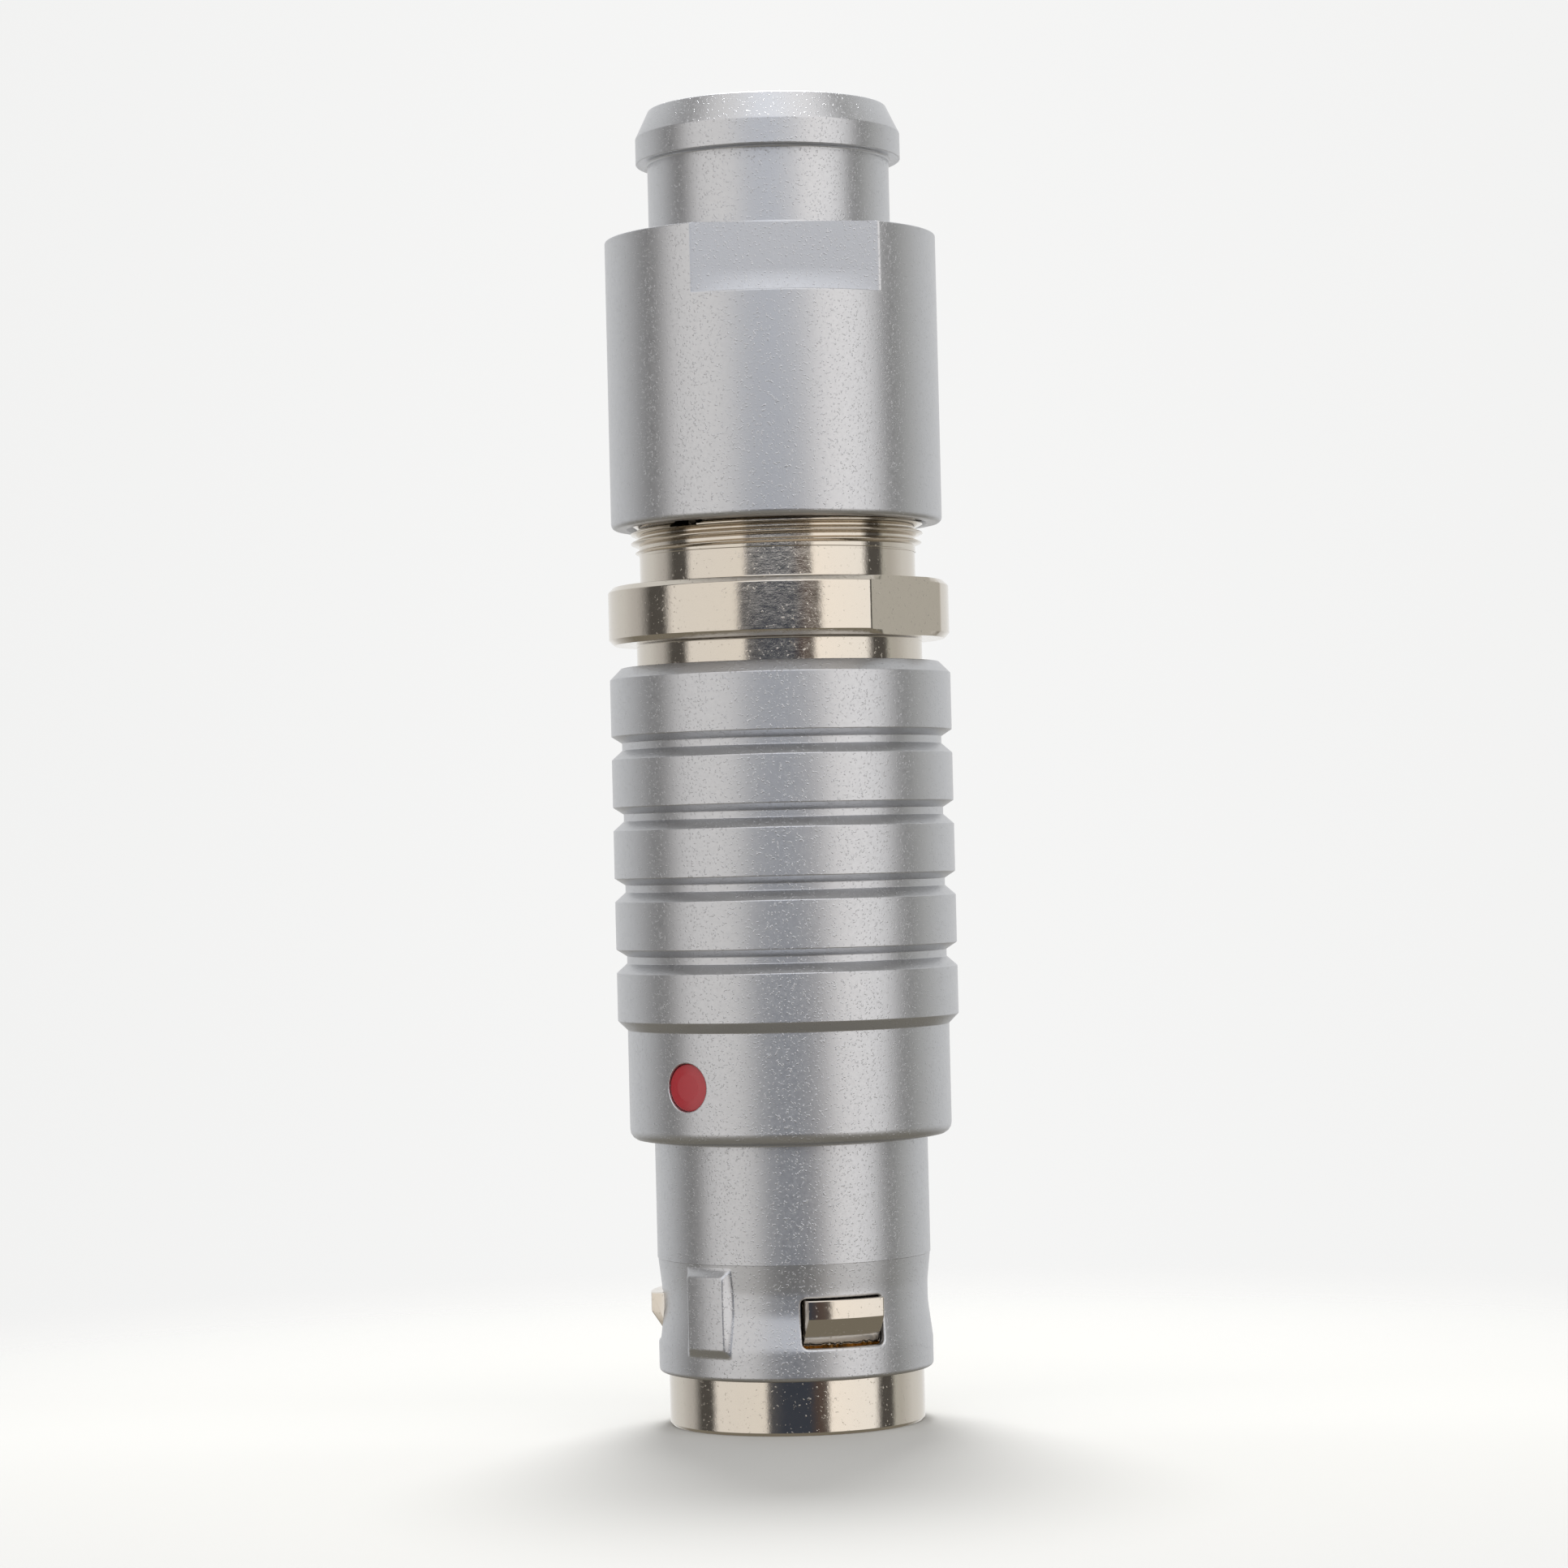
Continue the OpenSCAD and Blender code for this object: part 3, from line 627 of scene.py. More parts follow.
def sink_dot():
    outer = shell.rectangle(rows_between(*DOT_ROWS, 8.4), columns_about(0, 10.5))
    centre = np.array([0, DOT_Z])
    start = local([shell.verts[i] for i in outer], 0)
    angle = np.arctan2(start[:, 1] - DOT_Z, start[:, 0])
    way = np.stack([np.cos(angle), np.sin(angle)], axis=1)
    rings = [outer]
    for t in (0.4, 0.8):
        p = start + (centre + way * (DOT_R + DOT_RIM + DOT_LAND) - start) * t
        rings.append(shell.ring(on_round(p, COLLAR, 0)))
    for out, down in [(DOT_RIM + DOT_LAND, 0)] + quarter_round(DOT_RIM, [0, 30, 60, 90]):
        rings.append(shell.ring(on_round(centre + way * (DOT_R + out), COLLAR - down, 0)))
    for scale in (1.0, 0.96, 0.5):
        flat = centre + way * DOT_R * scale
        rings.append(shell.ring(np.stack([flat[:, 0], np.full(len(flat), -DOT_FLOOR), flat[:, 1]], axis=1)))
    join_rings(rings)
    shell.cap(rings[-1])


sink_dot()
finish_piece(shell.build("shell"), "grip_shell", "shell", chrome, ["outer_shell"])

# %% [markdown]
# ## Index dot
# A drop of red enamel fills the recess and stands a little domed, as paint does when it dries in a
# cup. It is turned about its own axis and laid into the recess.

# %% Index dot
dot_outline = rounded([(0, 0, 0), (1.23, 0, 0.02), (1.23, 0.15, 0.06), (0.7, 0.19, 0.4), (0, 0.2, 0)], closed=False)
dot = turn("dot", dot_outline, enamel, closed=False, segments=64)
lay_down = Matrix.Translation((0, -DOT_FLOOR, DOT_Z)) @ Matrix.Rotation(math.pi / 2, 4, "X")
dot.data.transform(lay_down)
finish_piece(dot, "dot_enamel", "shell", enamel, ["index_dot"])

# %% [markdown]
# ## Latch sleeve and latches
# The sleeve is one tube with three tongues sawn out of it. The hooks at the tongues' ends pass
# through the windows. Each latch moves on its own, so it is its own piece: the outline of the
# tongue swept across its width, with narrow rounds along the sides and a rough sawn front.

# %% Latch sleeve
SLEEVE, SLEEVE_BORE, TIP_CHAMFER, SKIRT = 6.72, 6.05, 0.16, 7.54
UNDERCUT, UNDERCUT_FRONT, UNDERCUT_REAR = 6.52, 2.78, 3.38
SPIGOT, SKIRT_FRONT, ADAPTER_FRONT, SLEEVE_REAR = 6.60, 18.5, 24.0, 33.5
STOP, STOP_FRONT, STOP_REAR = 5.27, 14.8, 15.4
CUT_HALF, CUT_FRONT, CUT_REAR = 2.15, 4.4, 14.52
sleeve = turn("sleeve", rounded([
    (SLEEVE_BORE, 0, 0.08), (SLEEVE - TIP_CHAMFER, 0, 0.04), (SLEEVE, TIP_CHAMFER, 0.04),
    (SLEEVE, UNDERCUT_FRONT, 0), (UNDERCUT, UNDERCUT_FRONT, 0), (UNDERCUT, UNDERCUT_REAR, 0),
    (SLEEVE, UNDERCUT_REAR, 0), (SLEEVE, SKIRT_FRONT, 0), (SKIRT, SKIRT_FRONT, 0.05),
    (SKIRT, ADAPTER_FRONT, 0), (SPIGOT, ADAPTER_FRONT, 0), (SPIGOT, SLEEVE_REAR, 0.1),
    (SLEEVE_BORE, SLEEVE_REAR, 0), (SLEEVE_BORE, STOP_REAR, 0), (STOP, STOP_REAR, 0),
    (STOP, STOP_FRONT, 0), (SLEEVE_BORE, STOP_FRONT, 0)]),
    nickel, segments=240)
cut(sleeve, [block(a, -CUT_HALF, CUT_HALF, -7.6, 0, CUT_FRONT, CUT_REAR) for a in LATCH_AZIMUTHS])
finish_piece(sleeve, "sleeve_barrel", "core", nickel, ["latch_sleeve"])

# %% Latches
LATCH_HALF, LATCH_END, LATCH_ROOT = 2.1, 4.60, 14.45
HOOK, HOOK_FRONT, HOOK_REAR = 7.60, 6.03, 7.0
RAMP_SLOPE = math.tan(math.radians(33))
SAWN, SAWN_DEPTH, SAWN_LIMIT = 0.19, 0.05, 0.12  # length of the rough front edge, and how rough it is
SIDE_ROUND = [(0, 0.05), (0.015, 0.015), (0.05, 0)]  # (in from the side, inset)


def inset(outline, distance):
    """Moves a closed outline inwards."""
    before, after = outline - np.roll(outline, 1, axis=0), np.roll(outline, -1, axis=0) - outline
    before /= np.linalg.norm(before, axis=1, keepdims=True)
    after /= np.linalg.norm(after, axis=1, keepdims=True)
    normal = np.stack([-(before[:, 1] + after[:, 1]), before[:, 0] + after[:, 0]], axis=1)
    normal /= np.maximum(np.sum(normal * normal, axis=1, keepdims=True) / 2, 0.3)
    return outline + normal * distance


def build_latch(index, azimuth):
    ramp_foot = HOOK - (HOOK_FRONT - LATCH_END) * RAMP_SLOPE
    outline = rounded([
        (SLEEVE_BORE, LATCH_END, 0.03), (ramp_foot, LATCH_END, 0.03),
        *[(ramp_foot + up * RAMP_SLOPE, LATCH_END + up, 0) for up in (0.2, 0.23)],
        (HOOK, HOOK_FRONT, 0.05), (HOOK, HOOK_REAR, 0.05),
        (SLEEVE, HOOK_REAR, 0.04), (SLEEVE, LATCH_ROOT, 0), (SLEEVE_BORE, LATCH_ROOT, 0)])
    across = [(-LATCH_HALF + x, d) for x, d in SIDE_ROUND]
    across += [(x, 0) for x in np.linspace(-LATCH_HALF + 0.08, LATCH_HALF - 0.08, 54)]
    across += [(LATCH_HALF - x, d) for x, d in SIDE_ROUND[::-1]]
    count = len(outline)
    verts, faces = [], []
    for x, d in across:
        sawn = min(SAWN_DEPTH * abs(rng.normal()), SAWN_LIMIT)
        for r, z in inset(outline, d):
            if z < LATCH_END + SAWN:
                z += sawn * (1 - (z - LATCH_END) / SAWN)
            verts.append((x, -math.sqrt(r * r - x * x), z))
    for i in range(len(across) - 1):
        for k in range(count):
            n = (k + 1) % count
            faces.append((i * count + k, i * count + n, (i + 1) * count + n, (i + 1) * count + k))
    faces.append(tuple(range(count)))
    faces.append(tuple(range(len(verts) - 1, len(verts) - 1 - count, -1)))
    latch = mesh_object("latch", verts, faces)
    latch.data.transform(Matrix.Rotation(math.radians(azimuth), 4, "Z"))
    body = f"latch_{index}"
    finish_piece(latch, f"spring_latch_{index}", body, nickel, [body])


for index, azimuth in enumerate(LATCH_AZIMUTHS, 1):
    build_latch(index, azimuth)

# %% [markdown]
# ## Adapter and its thread
# The adapter joins the sleeve to the collet nut. It is turned with a flange that has two wrench
# flats. The flats cross only the rows of the flange, so they are a change of radius in the grid, with
# extra columns where a flat meets the round.

# %% Adapter
NECK, FLANGE, FLANGE_FLAT, FLANGE_CHAMFER = 7.28, 9.0, 8.5, 0.28
FLANGE_FRONT, FLANGE_REAR, THREAD_FRONT, THREAD_REAR = 41.08, 44.13, 45.70, 53.40
THREAD_ROOT, THREAD_CREST, PITCH = 7.30, 7.72, 0.5
SOCKET, SOCKET_END, CABLE_BORE, COLLET_BORE, COLLET_SEAT = 6.65, 34.0, 5.40, 6.20, 46.5
flange_face = FLANGE - FLANGE_CHAMFER
adapter_rows = rounded([
    (SOCKET, ADAPTER_FRONT, 0.05), (SKIRT, ADAPTER_FRONT, 0.1), (SKIRT, FLANGE_FRONT, 0.10),
    (flange_face, FLANGE_FRONT, 0.05), (FLANGE, FLANGE_FRONT + FLANGE_CHAMFER, 0.06),
    (FLANGE, FLANGE_REAR - FLANGE_CHAMFER, 0.06), (flange_face, FLANGE_REAR, 0.05),
    (NECK, FLANGE_REAR, 0.12), (NECK, THREAD_FRONT, 0.03), (THREAD_ROOT, THREAD_FRONT + 0.04, 0.03),
    (THREAD_ROOT, THREAD_REAR - 0.2, 0.03), (7.2, THREAD_REAR, 0.05), (COLLET_BORE, THREAD_REAR, 0.05),
    (COLLET_BORE, COLLET_SEAT, 0), (CABLE_BORE, COLLET_SEAT, 0.05), (CABLE_BORE, SOCKET_END, 0.05),
    (SOCKET, SOCKET_END, 0)])


def flange_flats(r, z, azimuths):
    on_flange = (z > FLANGE_FRONT - 0.01) & (z < FLANGE_REAR + 0.01)
    flat = np.minimum(flat_radius(azimuths, 90, FLANGE_FLAT), flat_radius(azimuths, 270, FLANGE_FLAT))
    return np.where(on_flange, soft_min(r, flat, 0.035), r), z


flange_edge = math.degrees(math.acos(FLANGE_FLAT / FLANGE))
chamfer_edge = math.degrees(math.acos(FLANGE_FLAT / flange_face))
flange_edges = [a + s * e for a in (90, 270) for s in (-1, 1) for e in (flange_edge, chamfer_edge)]
adapter = Grid(adapter_rows, columns_with(COLUMN, flange_edges), flange_flats).build("adapter")
print("Adapter flats", 2 * FLANGE_FLAT, "mm apart")

# %% [markdown]
# ### Thread
# A thread could be a bump in the material, but its crests stand out from the side. So it is a ridge: a V
# swept along a helix by Geometry Nodes. Pitch and turns are inputs, and the ridge grows out of the
# neck over its first turns, as it does where a die starts to cut. Two slots are sawn through the tube last.

# %% Thread tree
thread, h_in, h_out = new_tree("Thread", [
    ("Turns", "NodeSocketFloat", 13.5), ("Pitch", "NodeSocketFloat", PITCH),
    ("Root Radius", "NodeSocketFloat", THREAD_ROOT), ("Run-out Turns", "NodeSocketFloat", 1.4),
    ("Segments per Turn", "NodeSocketInt", 120), ("Material", "NodeSocketMaterial", None)])
ridge_profile = add(thread, "GeometryNodeMeshToCurve")
helix = add(thread, "GeometryNodeCurveSpiral", {"Reverse": True})
height = add(thread, "ShaderNodeMath", operation="MULTIPLY")
along = add(thread, "GeometryNodeSplineParameter")
turns_here = add(thread, "ShaderNodeMath", operation="MULTIPLY")
grow = add(thread, "ShaderNodeMath", operation="DIVIDE", use_clamp=True)
upright_2 = add(thread, "GeometryNodeSetCurveNormal", mode="Z_UP")
ridge = add(thread, "GeometryNodeCurveToMesh", {"Fill Caps": True})
link = thread.links.new
link(h_in.outputs["Geometry"], ridge_profile.inputs["Mesh"])
link(h_in.outputs["Segments per Turn"], helix.inputs["Resolution"])
link(h_in.outputs["Turns"], helix.inputs["Rotations"])
link(h_in.outputs["Root Radius"], helix.inputs["Start Radius"])
link(h_in.outputs["Root Radius"], helix.inputs["End Radius"])
link(h_in.outputs["Turns"], height.inputs[0])
link(h_in.outputs["Pitch"], height.inputs[1])
link(height.outputs["Value"], helix.inputs["Height"])
link(along.outputs["Factor"], turns_here.inputs[0])
link(h_in.outputs["Turns"], turns_here.inputs[1])
link(turns_here.outputs["Value"], grow.inputs[0])
link(h_in.outputs["Run-out Turns"], grow.inputs[1])
link(helix.outputs["Curve"], upright_2.inputs["Curve"])
link(upright_2.outputs["Curve"], ridge.inputs["Curve"])
link(ridge_profile.outputs["Curve"], ridge.inputs["Profile Curve"])
link(grow.outputs["Value"], ridge.inputs["Scale"])
finish_tree(thread, h_in, h_out, ridge.outputs["Mesh"])
print("Thread tree nodes:", len(thread.nodes))

# %% The ridge, and the slots
RIDGE_FRONT, RIDGE_START = 45.60, -20.0  # height and azimuth where the ridge begins
tall = THREAD_CREST - THREAD_ROOT
half_v = [(-0.04, 0.235), (0, 0.225), (tall - 0.03, 0.05), (tall, 0.02)]  # (above the root, half width)
v_points = half_v + [(x, -y) for x, y in half_v[::-1]]
v_edges = [(i, (i + 1) % len(v_points)) for i in range(len(v_points))]
ridge_obj = mesh_object("thread", [(x, y, 0) for x, y in v_points], (), v_edges)
run_tree(ridge_obj, thread, Turns=14.9, Material=nickel)
print("Thread crest radius:", max(math.hypot(v.co.x, v.co.y) for v in ridge_obj.data.vertices))
ridge_obj.data.transform(
    Matrix.Translation((0, 0, RIDGE_FRONT)) @ Matrix.Rotation(math.radians(RIDGE_START), 4, "Z"))

SLOT = (-0.9, 0.9, -9.5, 9.5, 46.95, 54.0)  # x, y and z limits of the saw's path
for sawn_piece in (adapter, ridge_obj):
    cut(sawn_piece, [block(0, *SLOT)])
finish_piece(adapter, "adapter_body", "core", nickel, ["adapter"])
finish_piece(ridge_obj, "adapter_thread", "core", nickel)

# %% [markdown]
# ## Collet nut
# The nut is satin chrome like the shell. Its rear end has two wrench flats that run out in a small
# wall, and a neck and rim that a bend relief snaps over. Inside are a plain bore in place of the
# thread, the cone that closes the collet, and the cable bore.

# %% Collet nut
NUT, NUT_FRONT, NUT_SHOULDER, NUT_FLAT, FLAT_START = 8.75, 47.20, 62.40, 7.25, 58.80
TAIL, RIM, RIM_FRONT, RIM_CHAMFER, NUT_REAR = 6.39, 7.00, 66.50, 67.85, 69.30
CABLE_ENTRY, CONE_FRONT, CONE_TOP = 5.20, 56.10, 60.70
# (share of the flat's depth, height) up the small wall where the flats run out
run_out = [(0, 58.70), (0.0, 58.74), (0.004, 58.758), (0.015, 58.782), (0.035, 58.797), (0.06, FLAT_START),
           (0.94, FLAT_START), (0.975, 58.803), (0.993, 58.82), (1, 58.86)]
nut_corners = [
    (7.95, NUT_FRONT, 0.04), (NUT, NUT_FRONT, 0.3), (NUT, 58.60, 0), *[(NUT, z, 0) for _, z in run_out],
    (NUT, 60.0, 0), (NUT, NUT_SHOULDER, 0.07), (TAIL, NUT_SHOULDER, 0.2), (TAIL, RIM_FRONT, 0.12),
    (RIM, RIM_FRONT, 0.06), (RIM, RIM_CHAMFER, 0.12), (6.30, NUT_REAR, 0.10), (CABLE_ENTRY, NUT_REAR, 0.25),
    (CABLE_ENTRY, CONE_TOP, 0.05), (5.75, CONE_TOP, 0.05), (7.20, CONE_FRONT, 0.1), (7.20, 54.90, 0.05),
    (7.77, 54.90, 0), (7.77, 47.42, 0)]
nut_rows = rounded(nut_corners)
share_by_row = np.zeros(len(nut_rows))
nut_r, nut_z = nut_rows.T
first_run = int(np.argmax((np.abs(nut_r - NUT) < 1e-9) & (np.abs(nut_z - run_out[0][1]) < 1e-9)))
after = first_run + len(run_out)
share_by_row[first_run:after] = [share for share, _ in run_out]
above = (np.arange(len(nut_rows)) >= after) & (nut_z <= NUT_SHOULDER + 0.01) & (nut_r > TAIL + 0.4)
share_by_row[above] = 1


def nut_flats(r, z, azimuths):
    flat = np.minimum(flat_radius(azimuths, 45, NUT_FLAT), flat_radius(azimuths, 225, NUT_FLAT))
    milled = soft_min(r, flat, 0.05)
    return r + (milled - r) * share_by_row[:, None], z


nut_edge = math.degrees(math.acos(NUT_FLAT / NUT))
nut_columns = columns_with(COLUMN, [a + s * nut_edge for a in (45, 225) for s in (-1, 1)])
nut = Grid(nut_rows, nut_columns, nut_flats).build("nut")
finish_piece(nut, "nut_body", "nut", chrome, ["collet_nut"])

# %% [markdown]
# ## Collet
# The collet's jaws stand in the cone of the nut. They show through the cable bore. It is turned, and
# the slits are sawn through its rear end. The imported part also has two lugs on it, which slide in the
# adapter's slots. They are left out here.

# %% Collet
GRIP_BORE, TOOTH_ROOT, TOOTH_PITCH, TEETH = 4.60, 4.85, 0.92, 4
TUBE, HEAD, HEAD_FRONT, JAW_END = 6.14, 7.12, 54.60, 60.50
SLITS, SLIT_HALF, SLIT_END = 6, 0.35, 51.4
teeth = []
for i in range(TEETH):
    z = CONE_FRONT + (i + 1) * TOOTH_PITCH
    teeth += [(GRIP_BORE, z - 0.46 - 0.46, 0.02), (TOOTH_ROOT, z - 0.46, 0.02)]
collet = turn("collet", rounded([
    (GRIP_BORE, 48.20, 0.1), (TUBE, 48.20, 0.1), (TUBE, HEAD_FRONT, 0.05), (HEAD, HEAD_FRONT, 0.08),
    (HEAD, CONE_FRONT, 0.1), (5.73, JAW_END, 0.08), (GRIP_BORE, JAW_END, 0.1), *teeth[::-1]]),
    nickel, segments=168)
cut(collet, [block((i + 0.5) * 360 / SLITS, -SLIT_HALF, SLIT_HALF, -8.0, 0, SLIT_END, 62) for i in range(SLITS)])
finish_piece(collet, "collet_jaws", "collet", nickel, ["collet"])

# %% [markdown]
# ## Contacts and insulator
# Eight gilt pins stand in a ring round two more, in a moulded block. One pin is turned, and a
# node tree copies it onto the points of the pattern. They are joined in one piece, as they all ride on
# the core.

# %% Contact pattern tree
RING_COUNT, RING_RADIUS, MIDDLE_PITCH = 8, 3.80, 2.6
pattern, c_in, c_out = new_tree("Contact pattern", [
    ("Ring Count", "NodeSocketInt", RING_COUNT), ("Ring Radius", "NodeSocketFloat", RING_RADIUS),
    ("Middle Pitch", "NodeSocketFloat", MIDDLE_PITCH), ("Material", "NodeSocketMaterial", None)])
ring_curve = add(pattern, "GeometryNodeMeshCircle")
ring_turn = add(pattern, "GeometryNodeTransform", {"Rotation": (0, 0, math.radians(22.5))})
pair = add(pattern, "GeometryNodeMeshLine", {"Count": 2})
half_pitch = add(pattern, "ShaderNodeMath", {1: -0.5}, operation="MULTIPLY")
start_at, step_by = add(pattern, "ShaderNodeCombineXYZ"), add(pattern, "ShaderNodeCombineXYZ")
both = add(pattern, "GeometryNodeJoinGeometry")
copies = add(pattern, "GeometryNodeInstanceOnPoints")
link = pattern.links.new
link(c_in.outputs["Ring Count"], ring_curve.inputs["Vertices"])
link(c_in.outputs["Ring Radius"], ring_curve.inputs["Radius"])
link(ring_curve.outputs["Mesh"], ring_turn.inputs["Geometry"])
link(c_in.outputs["Middle Pitch"], half_pitch.inputs[0])
link(half_pitch.outputs["Value"], start_at.inputs["X"])
link(c_in.outputs["Middle Pitch"], step_by.inputs["X"])
link(start_at.outputs["Vector"], pair.inputs["Start Location"])
link(step_by.outputs["Vector"], pair.inputs["Offset"])
link(ring_turn.outputs["Geometry"], both.inputs["Geometry"])
link(pair.outputs["Mesh"], both.inputs["Geometry"])
link(both.outputs["Geometry"], copies.inputs["Points"])
link(c_in.outputs["Geometry"], copies.inputs["Instance"])
finish_tree(pattern, c_in, c_out, copies.outputs["Instances"])
print("Contact pattern nodes:", len(pattern.nodes))

# %% Contacts
PIN, BARREL, CUP, PIN_FRONT, PIN_STEP = 0.65, 0.95, 0.70, 1.5, 12.5
CUP_FLOOR, CUP_OPEN, PIN_REAR = 24.25, 27.0, 30.0
pin = turn("pin", rounded([
    (0, PIN_FRONT, 0), (0.62, PIN_FRONT, 0.6), (PIN, 2.2, 0), (PIN, PIN_STEP, 0), (BARREL, PIN_STEP, 0),
    (BARREL, PIN_REAR, 0.05), (CUP, PIN_REAR, 0.05), (CUP, CUP_FLOOR, 0), (0, CUP_FLOOR, 0)],
    closed=False), gold, closed=False, segments=40)
cut(pin, [block(0, -2, 2, 0, 2, CUP_OPEN, 31)])
run_tree(pin, pattern, Material=gold)
finish_piece(pin, "contact_pins", "core", gold, [f"contact_{i:02d}" for i in range(1, 11)])

# %% Insulator, carriers
HOLE_GAP = 0.02
insulator = turn("insulator", rounded([
    (0, 9.5, 0), (5.25, 9.5, 0.12), (5.25, 17.0, 0), (5.60, 17.0, 0), (5.60, 19.5, 0), (5.25, 19.5, 0),
    (5.25, 24.0, 0.05), (0, 24.0, 0)], closed=False), plastic, closed=False, segments=144)
ring_angles = [math.radians((i + 0.5) * 360 / RING_COUNT) for i in range(RING_COUNT)]
places = [(RING_RADIUS * math.cos(a), RING_RADIUS * math.sin(a)) for a in ring_angles]
places += [(-MIDDLE_PITCH / 2, 0), (MIDDLE_PITCH / 2, 0)]
drill_outline = [
    (0, 8), (PIN + HOLE_GAP, 8), (PIN + HOLE_GAP, PIN_STEP), (BARREL + HOLE_GAP, PIN_STEP),
    (BARREL + HOLE_GAP, 25), (0, 25)]
holes = []
for x, y in places:
    drill = turn("drill", np.array(drill_outline), plastic, closed=False, segments=40)
    drill.data.transform(Matrix.Translation((x, y, 0)))
    holes.append(drill)
cut(insulator, holes)
finish_piece(insulator, "insulator_block", "core", plastic, ["insulator"])
for name in ("carrier_half_1", "carrier_half_2"):
    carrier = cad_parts[name]
    carrier.data.materials.clear()
    carrier.data.materials.append(nickel)
print("Carrier halves keep their packed shape")

# %% [markdown]
# ## Floor
# The plug stands on its mating end on a pale floor, which takes its shadow. A big backdrop could hide the
# floor's edge, but here the floor turns clear away from the plug, so the pale room shows in its place.

# %% Floor
FADE_START, FADE_END, FLOOR_HALF = 0.03, 0.09, 0.15
floor_material, tree, shader = new_material("pale_floor", (0.60, 0.60, 0.585), 0.9, metallic=0.0)
coords = add(tree, "ShaderNodeTexCoord")
length = add(tree, "ShaderNodeVectorMath", operation="LENGTH")
tree.links.new(coords.outputs["Object"], length.inputs[0])
fade = add(tree, "ShaderNodeMapRange", {"From Min": FADE_START, "From Max": FADE_END},
           interpolation_type="SMOOTHSTEP")
tree.links.new(length.outputs["Value"], fade.inputs["Value"])
clear = add(tree, "ShaderNodeBsdfTransparent")
mix = add(tree, "ShaderNodeMixShader")
tree.links.new(fade.outputs["Result"], mix.inputs["Fac"])
tree.links.new(shader.outputs["BSDF"], mix.inputs[1])
tree.links.new(clear.outputs["BSDF"], mix.inputs[2])
tree.links.new(mix.outputs["Shader"], tree.nodes["Material Output"].inputs["Surface"])
floor_corners = [(x * FLOOR_HALF, y * FLOOR_HALF, 0) for x, y in ((-1, -1), (1, -1), (1, 1), (-1, 1))]
floor = mesh_object("floor", floor_corners, [(0, 1, 2, 3)])
floor.data.materials.append(floor_material)
floor.visible_glossy = False
print("Floor is clear beyond", FADE_END, "m")

# %% [markdown]
# ## Studio
# Polished metal shows the room, so the room is what makes it look like metal. Boxes with lamps would do,
# but the world can hold the whole studio: tall soft boxes left and right of the camera, a pale
# room behind the plug, a dim place where the camera stands, a bright ceiling above it, and darker
# ground. One colour ramp runs round the horizon low down, and a second one higher up.

# %% Studio room
CAMERA_AZIMUTH = 39.0
world = bpy.data.worlds.new("studio")
bpy.context.scene.world = world
world.use_nodes = True
tree = world.node_tree
background = tree.nodes["Background"]
link = tree.links.new
coords = add(tree, "ShaderNodeTexCoord")
facing = add(tree, "ShaderNodeMapping", {"Rotation": (0, 0, math.radians(-(CAMERA_AZIMUTH - 90)))})
around = add(tree, "ShaderNodeTexGradient", gradient_type="RADIAL")
link(coords.outputs["Generated"], facing.inputs["Vector"])
link(facing.outputs["Vector"], around.inputs["Vector"])


def ramp(tree, factor, stops):
    """A colour ramp from (degrees from the camera, colour); right of the camera is positive."""
    node = add(tree, "ShaderNodeValToRGB")
    elements = node.color_ramp.elements
    while len(elements) > 1:
        elements.remove(elements[-1])
    for i, (degrees, colour) in enumerate(stops):
        position = degrees / 360 + 0.5
        if i == 0:
            elements[0].position = position
            element = elements[0]
        else:
            element = elements.new(position)
        element.color = (*colour, 1)
    tree.links.new(factor, node.inputs["Fac"])
    return node.outputs["Color"]


WHITE = (0.92, 0.92, 0.915)
DIM = (0.10, 0.095, 0.09)
DARK = (0.055, 0.065, 0.09)
left = [
    (-180, WHITE), (-128, (0.76, 0.76, 0.75)), (-108, (0.54, 0.53, 0.52)), (-97, DIM), (-83, DIM),
    (-77, (1.00, 0.97, 0.94)), (-29, (1.02, 0.98, 0.93))]
right = [
    (30, (1.28, 1.22, 1.16)), (74, (1.20, 1.18, 1.16)), (81, DIM), (95, DIM), (99, (0.57, 0.57, 0.53)),
    (108, (0.58, 0.57, 0.54)), (127, (0.78, 0.78, 0.77)), (180, WHITE)]
low_middle = [
    (-25, (0.12, 0.12, 0.13)), (-12, DARK), (11, DARK), (19, (0.11, 0.08, 0.07)), (27, (0.14, 0.12, 0.11))]
high_middle = [(-25, (1.08, 1.09, 1.12)), (0, (1.12, 1.15, 1.22)), (26, (1.2, 1.2, 1.2))]
low = ramp(tree, around.outputs["Fac"], left + low_middle + right)
high = ramp(tree, around.outputs["Fac"], left + high_middle + right)
split_up = add(tree, "ShaderNodeSeparateXYZ")
link(coords.outputs["Generated"], split_up.inputs["Vector"])
edge = add(tree, "ShaderNodeMapRange", {"From Min": 0.064, "From Max": 0.110},
           interpolation_type="SMOOTHSTEP")
link(split_up.outputs["Z"], edge.inputs["Value"])
blend = add(tree, "ShaderNodeMix", data_type="RGBA")
link(edge.outputs["Result"], blend.inputs["Factor"])
link(low, blend.inputs["A"])
link(high, blend.inputs["B"])
below = add(tree, "ShaderNodeMapRange", {"From Min": -0.17, "From Max": -0.5})
link(split_up.outputs["Z"], below.inputs["Value"])
ground = add(tree, "ShaderNodeMix", data_type="RGBA")
ground.inputs["B"].default_value = (0.24, 0.22, 0.18, 1)
link(below.outputs["Result"], ground.inputs["Factor"])
link(blend.outputs["Result"], ground.inputs["A"])
link(ground.outputs["Result"], background.inputs["Color"])
background.inputs["Strength"].default_value = 1.0
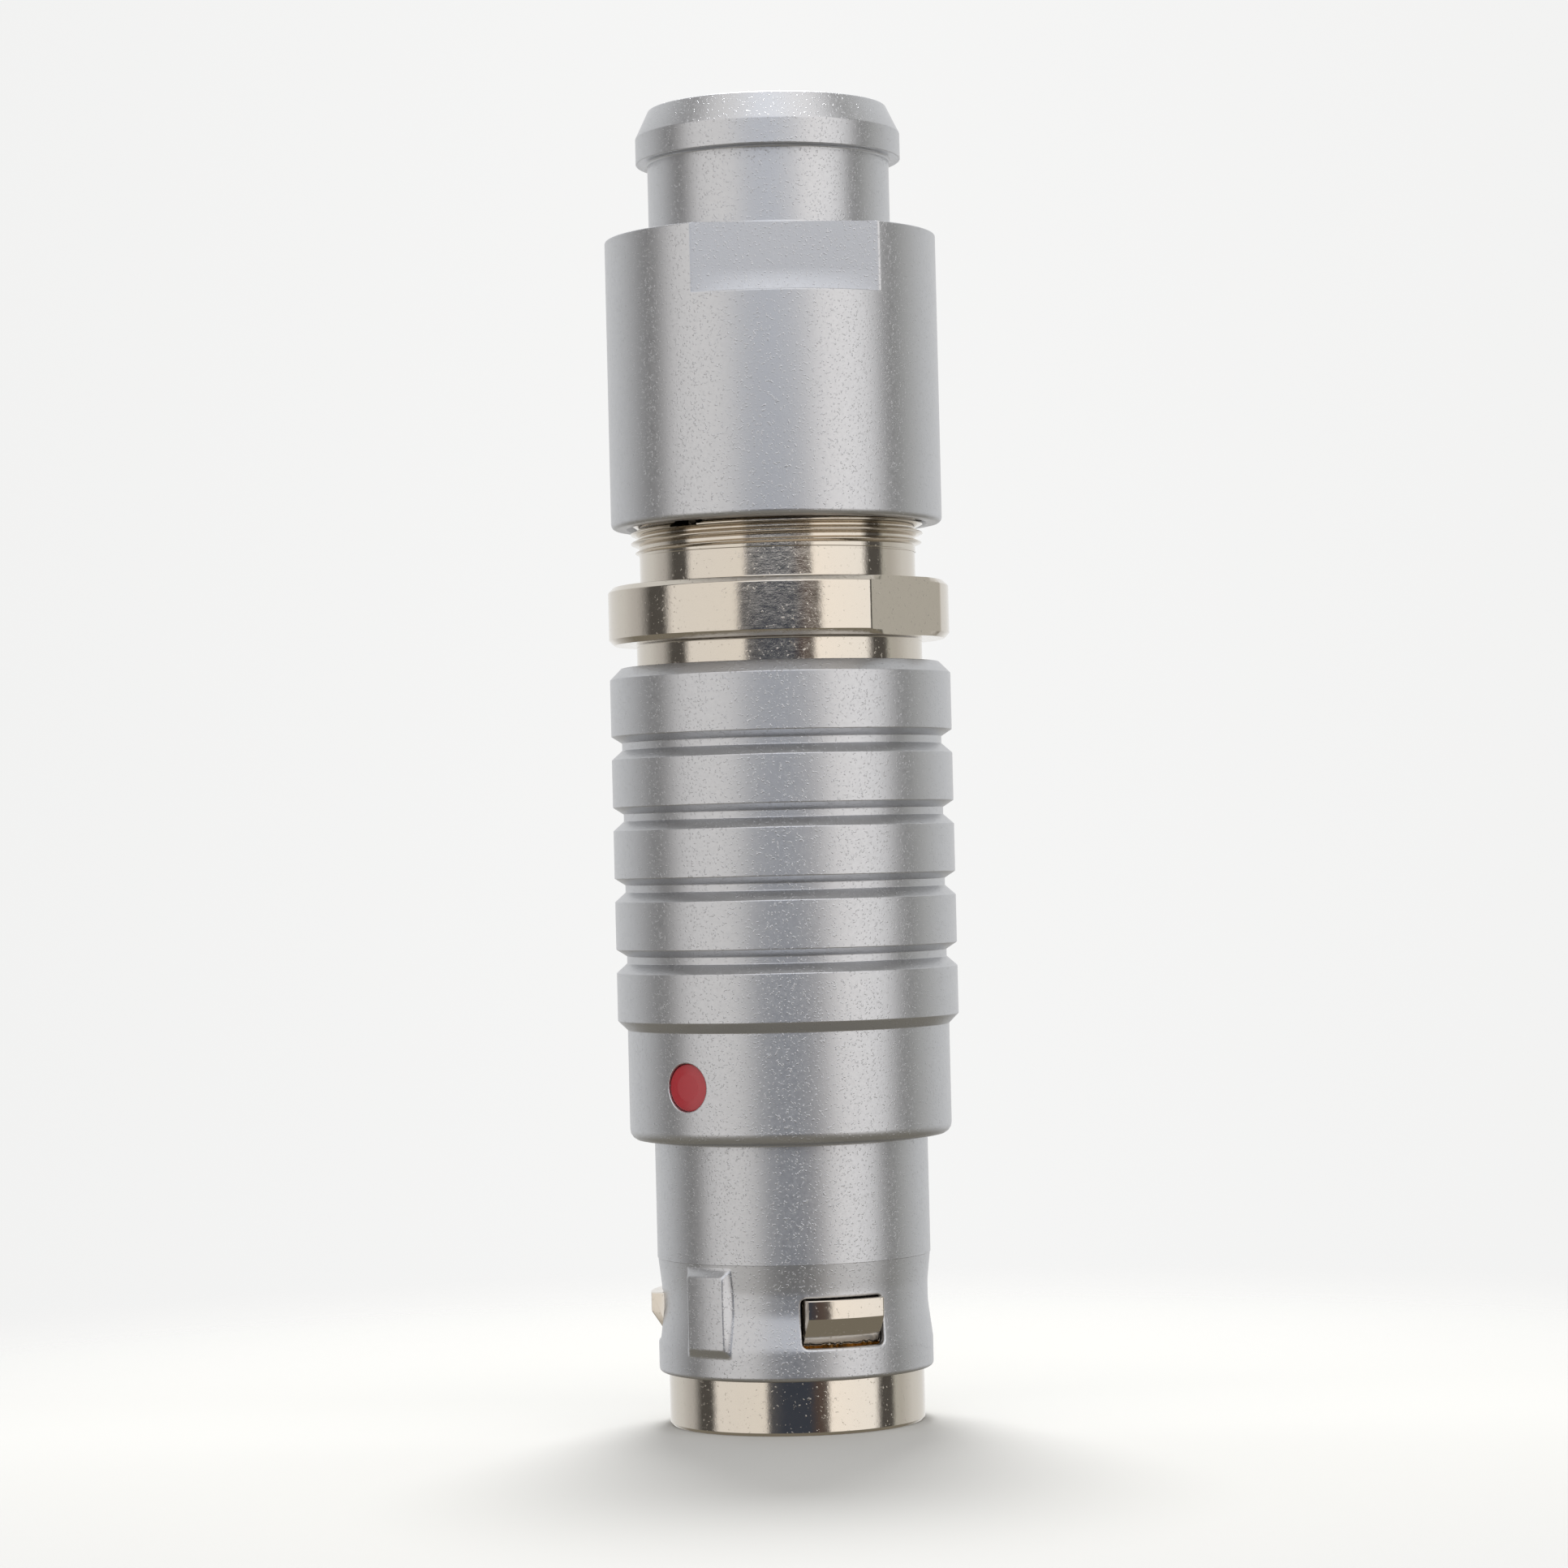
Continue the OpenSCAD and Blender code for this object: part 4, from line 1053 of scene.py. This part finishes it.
print("Studio stops:", len(left), "left,", len(right), "right")

# %% [markdown]
# ## Lamp
# One soft round lamp stands high behind the plug. It draws the short shadow on the floor, towards
# the camera, that sets the plug down on its tip.

# %% Lamp over and behind the plug
LAMP_SIZE, LAMP_POWER, LAMP_DISTANCE, LAMP_RISE = 0.11, 1.35, 0.4, 70
lamp_data = bpy.data.lights.new("rear_lamp", "AREA")
lamp_data.shape, lamp_data.size, lamp_data.energy = "DISK", LAMP_SIZE, LAMP_POWER
lamp = bpy.data.objects.new("rear_lamp", lamp_data)
bpy.context.scene.collection.objects.link(lamp)
behind = math.radians(CAMERA_AZIMUTH + 180)
lamp_way = Vector((math.sin(behind), -math.cos(behind), math.tan(math.radians(LAMP_RISE)))).normalized()
lamp.location = lamp_way * LAMP_DISTANCE
lamp.rotation_euler = lamp.location.to_track_quat("Z", "Y").to_euler()
print("Lamp at", tuple(round(x, 3) for x in lamp.location))

# %% [markdown]
# ## Camera
# The camera stands a little to the right of the key, level with the middle of the plug, and leans a degree
# or so, as a hand-held one does.

# %% Camera
CAMERA_DISTANCE, CAMERA_HEIGHT, LENS, SENSOR = 0.240, 0.0302, 104.2, 36
CAMERA_TILT, CAMERA_ROLL = 0.81, -1.385  # degrees
camera_data = bpy.data.cameras.new("camera")
camera_data.lens, camera_data.sensor_width = LENS, SENSOR
camera_data.clip_start = 0.01
camera_data.shift_x = 0.0008
camera = bpy.data.objects.new("camera", camera_data)
bpy.context.scene.collection.objects.link(camera)
azimuth = math.radians(CAMERA_AZIMUTH)
camera_place = (CAMERA_DISTANCE * math.sin(azimuth), -CAMERA_DISTANCE * math.cos(azimuth), CAMERA_HEIGHT)
camera.matrix_world = (
    Matrix.Translation(camera_place)
    @ Matrix.Rotation(azimuth, 4, "Z") @ Matrix.Rotation(math.radians(90 + CAMERA_TILT), 4, "X")
    @ Matrix.Rotation(math.radians(CAMERA_ROLL), 4, "Z"))
bpy.context.scene.camera = camera
bpy.context.scene.view_settings.view_transform = "Standard"
print("Camera at", camera_place)
